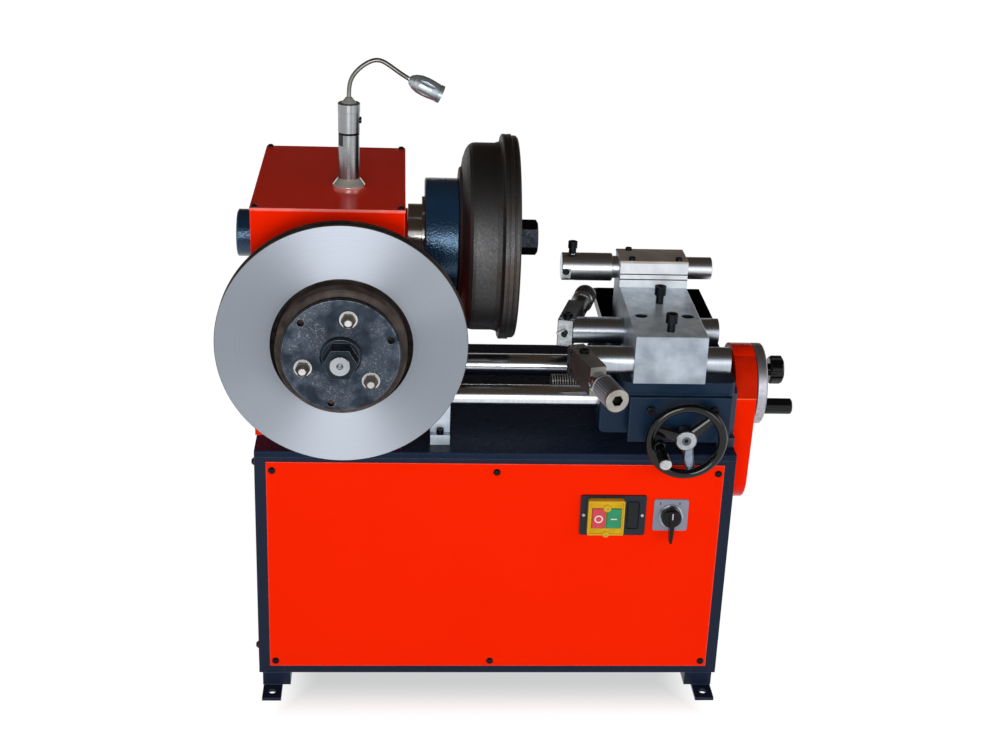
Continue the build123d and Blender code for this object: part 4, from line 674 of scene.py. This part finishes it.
# Handwheel: round rim, tapered oval spokes, turned hub and the pin of its grip
RIM_R = 55
RIM_TUBE_R = 7
BORE_R = 7.05
SPOKE_ANGLES = (-78, 42, 162)
GRIP_R = 41
GRIP_ANGLE = math.radians(192)
bm = bmesh.new()
hub_outline = [(-1, BORE_R), (-1, 14.6), (0.4, 16), (11, 16), (25, 14), (25, BORE_R), (-1, BORE_R)]
add_turned(bm, hub_outline, 48, FACING_FRONT, (0, 0, 0))
rim_place = Matrix.Translation((RIM_R, 0, 0))
tube = bmesh.ops.create_circle(bm, segments=20, radius=RIM_TUBE_R, matrix=rim_place)["verts"]
loop = list({edge for vert in tube for edge in vert.link_edges})
bmesh.ops.spin(bm, geom=tube + loop, cent=(0, 0, 0), axis=(0, 1, 0), angle=2 * math.pi, steps=80,
               use_merge=True)
for angle in SPOKE_ANGLES:
    spoke = bmesh.ops.create_cone(bm, cap_ends=True, segments=24, radius1=9.5, radius2=7, depth=40)["verts"]
    bmesh.ops.scale(bm, vec=(1, 0.55, 1), verts=spoke)
    bmesh.ops.translate(bm, vec=(0, 6, 31), verts=spoke)
    bmesh.ops.rotate(bm, cent=(0, 0, 0), verts=spoke,
                     matrix=Matrix.Rotation(math.radians(90 - angle), 3, "Y"))
grip_place = (GRIP_R * math.cos(GRIP_ANGLE), 0, GRIP_R * math.sin(GRIP_ANGLE))
add_turned(bm, [(5, 0), (5, 9), (-5, 9), (-6, 8), (-6, 4), (-59, 4), (-59, 0)], 32, FACING_FRONT, grip_place)
bmesh.ops.translate(bm, vec=WHEEL_AXIS, verts=bm.verts)
wheel = piece("handwheel_round_spokes", bm, wheel_resin, "hand_feed")
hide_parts("handwheel")

# Black button heads at the corners of the headstock lid
LID_TOP = 784
bm = bmesh.new()
for x in (-364, -151):
    for y in (-156.5, 170.5):
        small_screw(bm, 5, 3.4, (x, y, LID_TOP), FACING_UP)
piece("lid_corner_screws", bm, black_oxide, "machine_base")

# Screws on the cutter arms: one on each cutting insert, two on the left face of the front arm
for name, arm in ARMS.items():
    facing = Matrix.Rotation(math.radians(arm["side"] * ARM_TURN), 3, "Z")
    bm = bmesh.new()
    small_screw(bm, 4.8, 2.2, Vector(arm["start"]) + facing @ Vector((-4, arm["side"] * 0.6, 0)), facing)
    piece(f"{name}_insert_screw", bm, black_oxide, f"{name}_tip")
facing = Matrix.Rotation(math.radians(-ARM_TURN), 3, "Z")
bm = bmesh.new()
for along, up in ((16.8, 13.9), (18.9, -14.6)):
    place = Vector(ARMS["front"]["start"]) + facing @ Vector((along, -12.5, up))
    small_screw(bm, 4.6, 1.6, place, facing @ FACING_FRONT)
piece("arm_side_screws", bm, black_oxide, "front_arm")

# Screw of the boring bar's cutting insert
bm = bmesh.new()
small_screw(bm, 5.4, 1.6, (114, 8, 632.5), FACING_FRONT)
piece("boring_insert_screw", bm, black_oxide, "boring_tool")

# Two bosses on the yellow frame of the switch
FRAME_FACE = -234
PLATE_FACE = -226
bm = bmesh.new()
for x, z, reach in ((171.5, 334.5, 6.4), (171.5, 289.5, 5.2)):
    outline = [(3, 0), (3, reach), (-1.5, reach), (-2.6, reach - 1.1), (-2.6, 2.2), (-1.2, 1.6), (-1.2, 0)]
    add_turned(bm, outline, 32, FACING_FRONT, (x, FRAME_FACE, z))
piece("switch_frame_bosses", bm, yellow_abs, "machine_base")

# Raised lip around the yellow frame, open in the middle where the buttons travel
CORNER = 2.2
bm = rounded_plate(56.5, 59, 3, CORNER, 4)
flat = [face for face in bm.faces if abs(face.normal.y) > 0.9]
bmesh.ops.inset_individual(bm, faces=flat, thickness=2.2)
bmesh.ops.delete(bm, geom=flat, context="FACES_ONLY")
bmesh.ops.bridge_loops(bm, edges=[edge for edge in bm.edges if edge.is_boundary])
bmesh.ops.translate(bm, vec=(170.25, FRAME_FACE - 0.8, 318), verts=bm.verts)
piece("switch_frame_lip", bm, yellow_abs, "machine_base")

# Sunk window beside the frame, between two bright screws
bm = rounded_plate(19, 47, 3, CORNER, 4)
front = [face for face in bm.faces if face.normal.y < -0.9]
bmesh.ops.inset_region(bm, faces=front, thickness=1.6, depth=0)
bmesh.ops.translate(bm, vec=(0, 1.8, 0), verts=list({vert for face in front for vert in face.verts}))
bmesh.ops.translate(bm, vec=(213, PLATE_FACE - 0.5, 318.5), verts=bm.verts)
piece("switch_window", bm, window_abs, "machine_base")
bm = bmesh.new()
for x in (136.4, 227.4):
    small_screw(bm, 2.9, 2, (x, PLATE_FACE, 318.6), FACING_FRONT)
piece("switch_screws", bm, zinc, "machine_base")

# Generic signs: a ring on the stop button, a bar on the start button, two marks beside the selector
BUTTON_FACE = -236
SIGN_HEIGHT = 316.5
SIGN_DEPTH = 0.7
bm = bmesh.new()
add_turned(bm, [(0.2, 4.6), (-0.35, 4.6), (-0.35, 6.6), (0.2, 6.6), (0.2, 4.6)], 40, FACING_FRONT,
           (158.75, BUTTON_FACE, SIGN_HEIGHT))
piece("stop_sign", bm, white_mark, "stop")
bm = rounded_plate(9.5, 1.8, SIGN_DEPTH, 0.35 * 1.8, 3)
bmesh.ops.translate(bm, vec=(182.25, BUTTON_FACE, SIGN_HEIGHT), verts=bm.verts)
piece("start_sign", bm, white_mark, "start")
SELECTOR_FACE = -225
bm = bmesh.new()
for x in (SELECTOR[0] - 17, SELECTOR[0] + 13):
    mark = rounded_plate(1.3, 4.4, SIGN_DEPTH, 0.35 * 1.3, 3)
    bmesh.ops.translate(mark, vec=(x, SELECTOR_FACE, SELECTOR[2] + 20), verts=mark.verts)
    join(bm, mark)
piece("selector_marks", bm, black_sheet, "machine_base")

# Floor, white for the eye and for reflections, that keeps the shadow
ground_mesh = bpy.data.meshes.new("studio_floor")
bm = bmesh.new()
bmesh.ops.create_grid(bm, x_segments=1, y_segments=1, size=30)
bm.to_mesh(ground_mesh)
bm.free()
floor = bpy.data.objects.new("studio_floor", ground_mesh)
bpy.context.scene.collection.objects.link(floor)
floor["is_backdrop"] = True
paper = bpy.data.materials.new("white_paper_floor")
paper.use_nodes = True
tree = paper.node_tree
tree.nodes.clear()
rays = add(tree, "LightPath").outputs
seen = add(tree, "Math", {0: rays["Is Camera Ray"], 1: rays["Is Glossy Ray"]}, operation="ADD")
seen = add(tree, "Math", {0: seen.outputs[0], 1: rays["Is Transmission Ray"]}, operation="ADD",
           use_clamp=True)
# Painted shadow: the glow is weaker in a soft oblong between the feet, sizes in metres, so the floor under
# the machine shows darker
away = add(tree, "VectorMath", {0: add(tree, "TexCoord").outputs["Object"]}, operation="ABSOLUTE").outputs[0]
sides = add(tree, "SeparateXYZ", {0: away}).outputs
clear = 0.0
for side, near, far in (("X", 0.27, 0.36), ("Y", 0.2, 0.33)):
    past = add(tree, "MapRange", {"Value": sides[side], "From Min": near, "From Max": far},
               interpolation_type="SMOOTHSTEP")
    clear = add(tree, "Math", {0: clear, 1: past.outputs["Result"]}, operation="MAXIMUM").outputs[0]
lift = add(tree, "MapRange", {"Value": clear, "To Min": 0.54, "To Max": 0.97})
strength = add(tree, "Math", {0: seen.outputs[0], 1: lift.outputs["Result"]}, operation="MULTIPLY")
matte = add(tree, "BsdfDiffuse", {"Color": colour("#828C8E")})
glow = add(tree, "Emission", {"Color": colour("#FFFFFF"), "Strength": strength.outputs[0]})
both = add(tree, "AddShader", {0: matte.outputs[0], 1: glow.outputs[0]})
add(tree, "OutputMaterial", {"Surface": both.outputs[0]})
ground_mesh.materials.append(paper)

# World: a white room, higher in front than behind, under a dim brown ceiling
CEILING_EDGE = 0.33
CEILING_SLOPE = -0.24
CEILING_BLUR = 0.06
world = bpy.data.worlds.new("studio_room")
bpy.context.scene.world = world
world.use_nodes = True
tree = world.node_tree
tree.nodes.clear()
aim = add(tree, "SeparateXYZ", {0: add(tree, "TexCoord").outputs["Generated"]}).outputs
edge = add(tree, "Math", {0: aim["Y"], 1: CEILING_SLOPE, 2: CEILING_EDGE}, operation="MULTIPLY_ADD")
over = add(tree, "Math", {0: aim["Z"], 1: edge.outputs[0]}, operation="SUBTRACT").outputs[0]
rise = add(tree, "MapRange", {"Value": over, "From Min": -CEILING_BLUR, "From Max": CEILING_BLUR},
           interpolation_type="SMOOTHSTEP").outputs["Result"]
sky = add(tree, "Mix", {0: rise, 6: colour("#FFFFFF"), 7: colour("#463C32")}, data_type="RGBA")
back = add(tree, "Background", {"Color": sky.outputs[2], "Strength": 1.0})
add(tree, "OutputWorld", {"Surface": back.outputs[0]})


# Soft lamp at a place, aimed at a point, its size in metres
def softbox(name, place, target, width, height, watts):
    lamp = bpy.data.lights.new(name, "AREA")
    lamp.shape = "RECTANGLE"
    lamp.size = width
    lamp.size_y = height
    lamp.energy = watts
    obj = bpy.data.objects.new(name, lamp)
    obj.location = place
    obj.rotation_euler = (Vector(target) - Vector(place)).to_track_quat("-Z", "Y").to_euler()
    bpy.context.scene.collection.objects.link(obj)


softbox("key_softbox", (-0.3, -3.3, 1.0), (-0.1, 0, 0.5), 1.5, 1.2, 53)
softbox("fill_softbox", (2.2, -2.4, 0.9), (0, 0, 0.5), 1.2, 1.2, 14)

# Camera solved from the cabinet and headstock edges
CAMERA_PLACE = (-0.1556, -2.4589, 1.5079)
CAMERA_YAW = math.radians(3.950)
CAMERA_PITCH = math.radians(23.129)
CAMERA_ROLL = math.radians(2.226)
lens = bpy.data.cameras.new("camera")
lens.sensor_width = 36
lens.lens = 59.09
camera = bpy.data.objects.new("camera", lens)
turn = Matrix.Rotation(-CAMERA_YAW, 4, "Z") @ Matrix.Rotation(math.pi / 2 - CAMERA_PITCH, 4, "X")
camera.matrix_world = Matrix.Translation(CAMERA_PLACE) @ turn @ Matrix.Rotation(CAMERA_ROLL, 4, "Z")
bpy.context.scene.collection.objects.link(camera)
bpy.context.scene.camera = camera
bpy.context.scene.view_settings.view_transform = "Standard"

low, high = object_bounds()
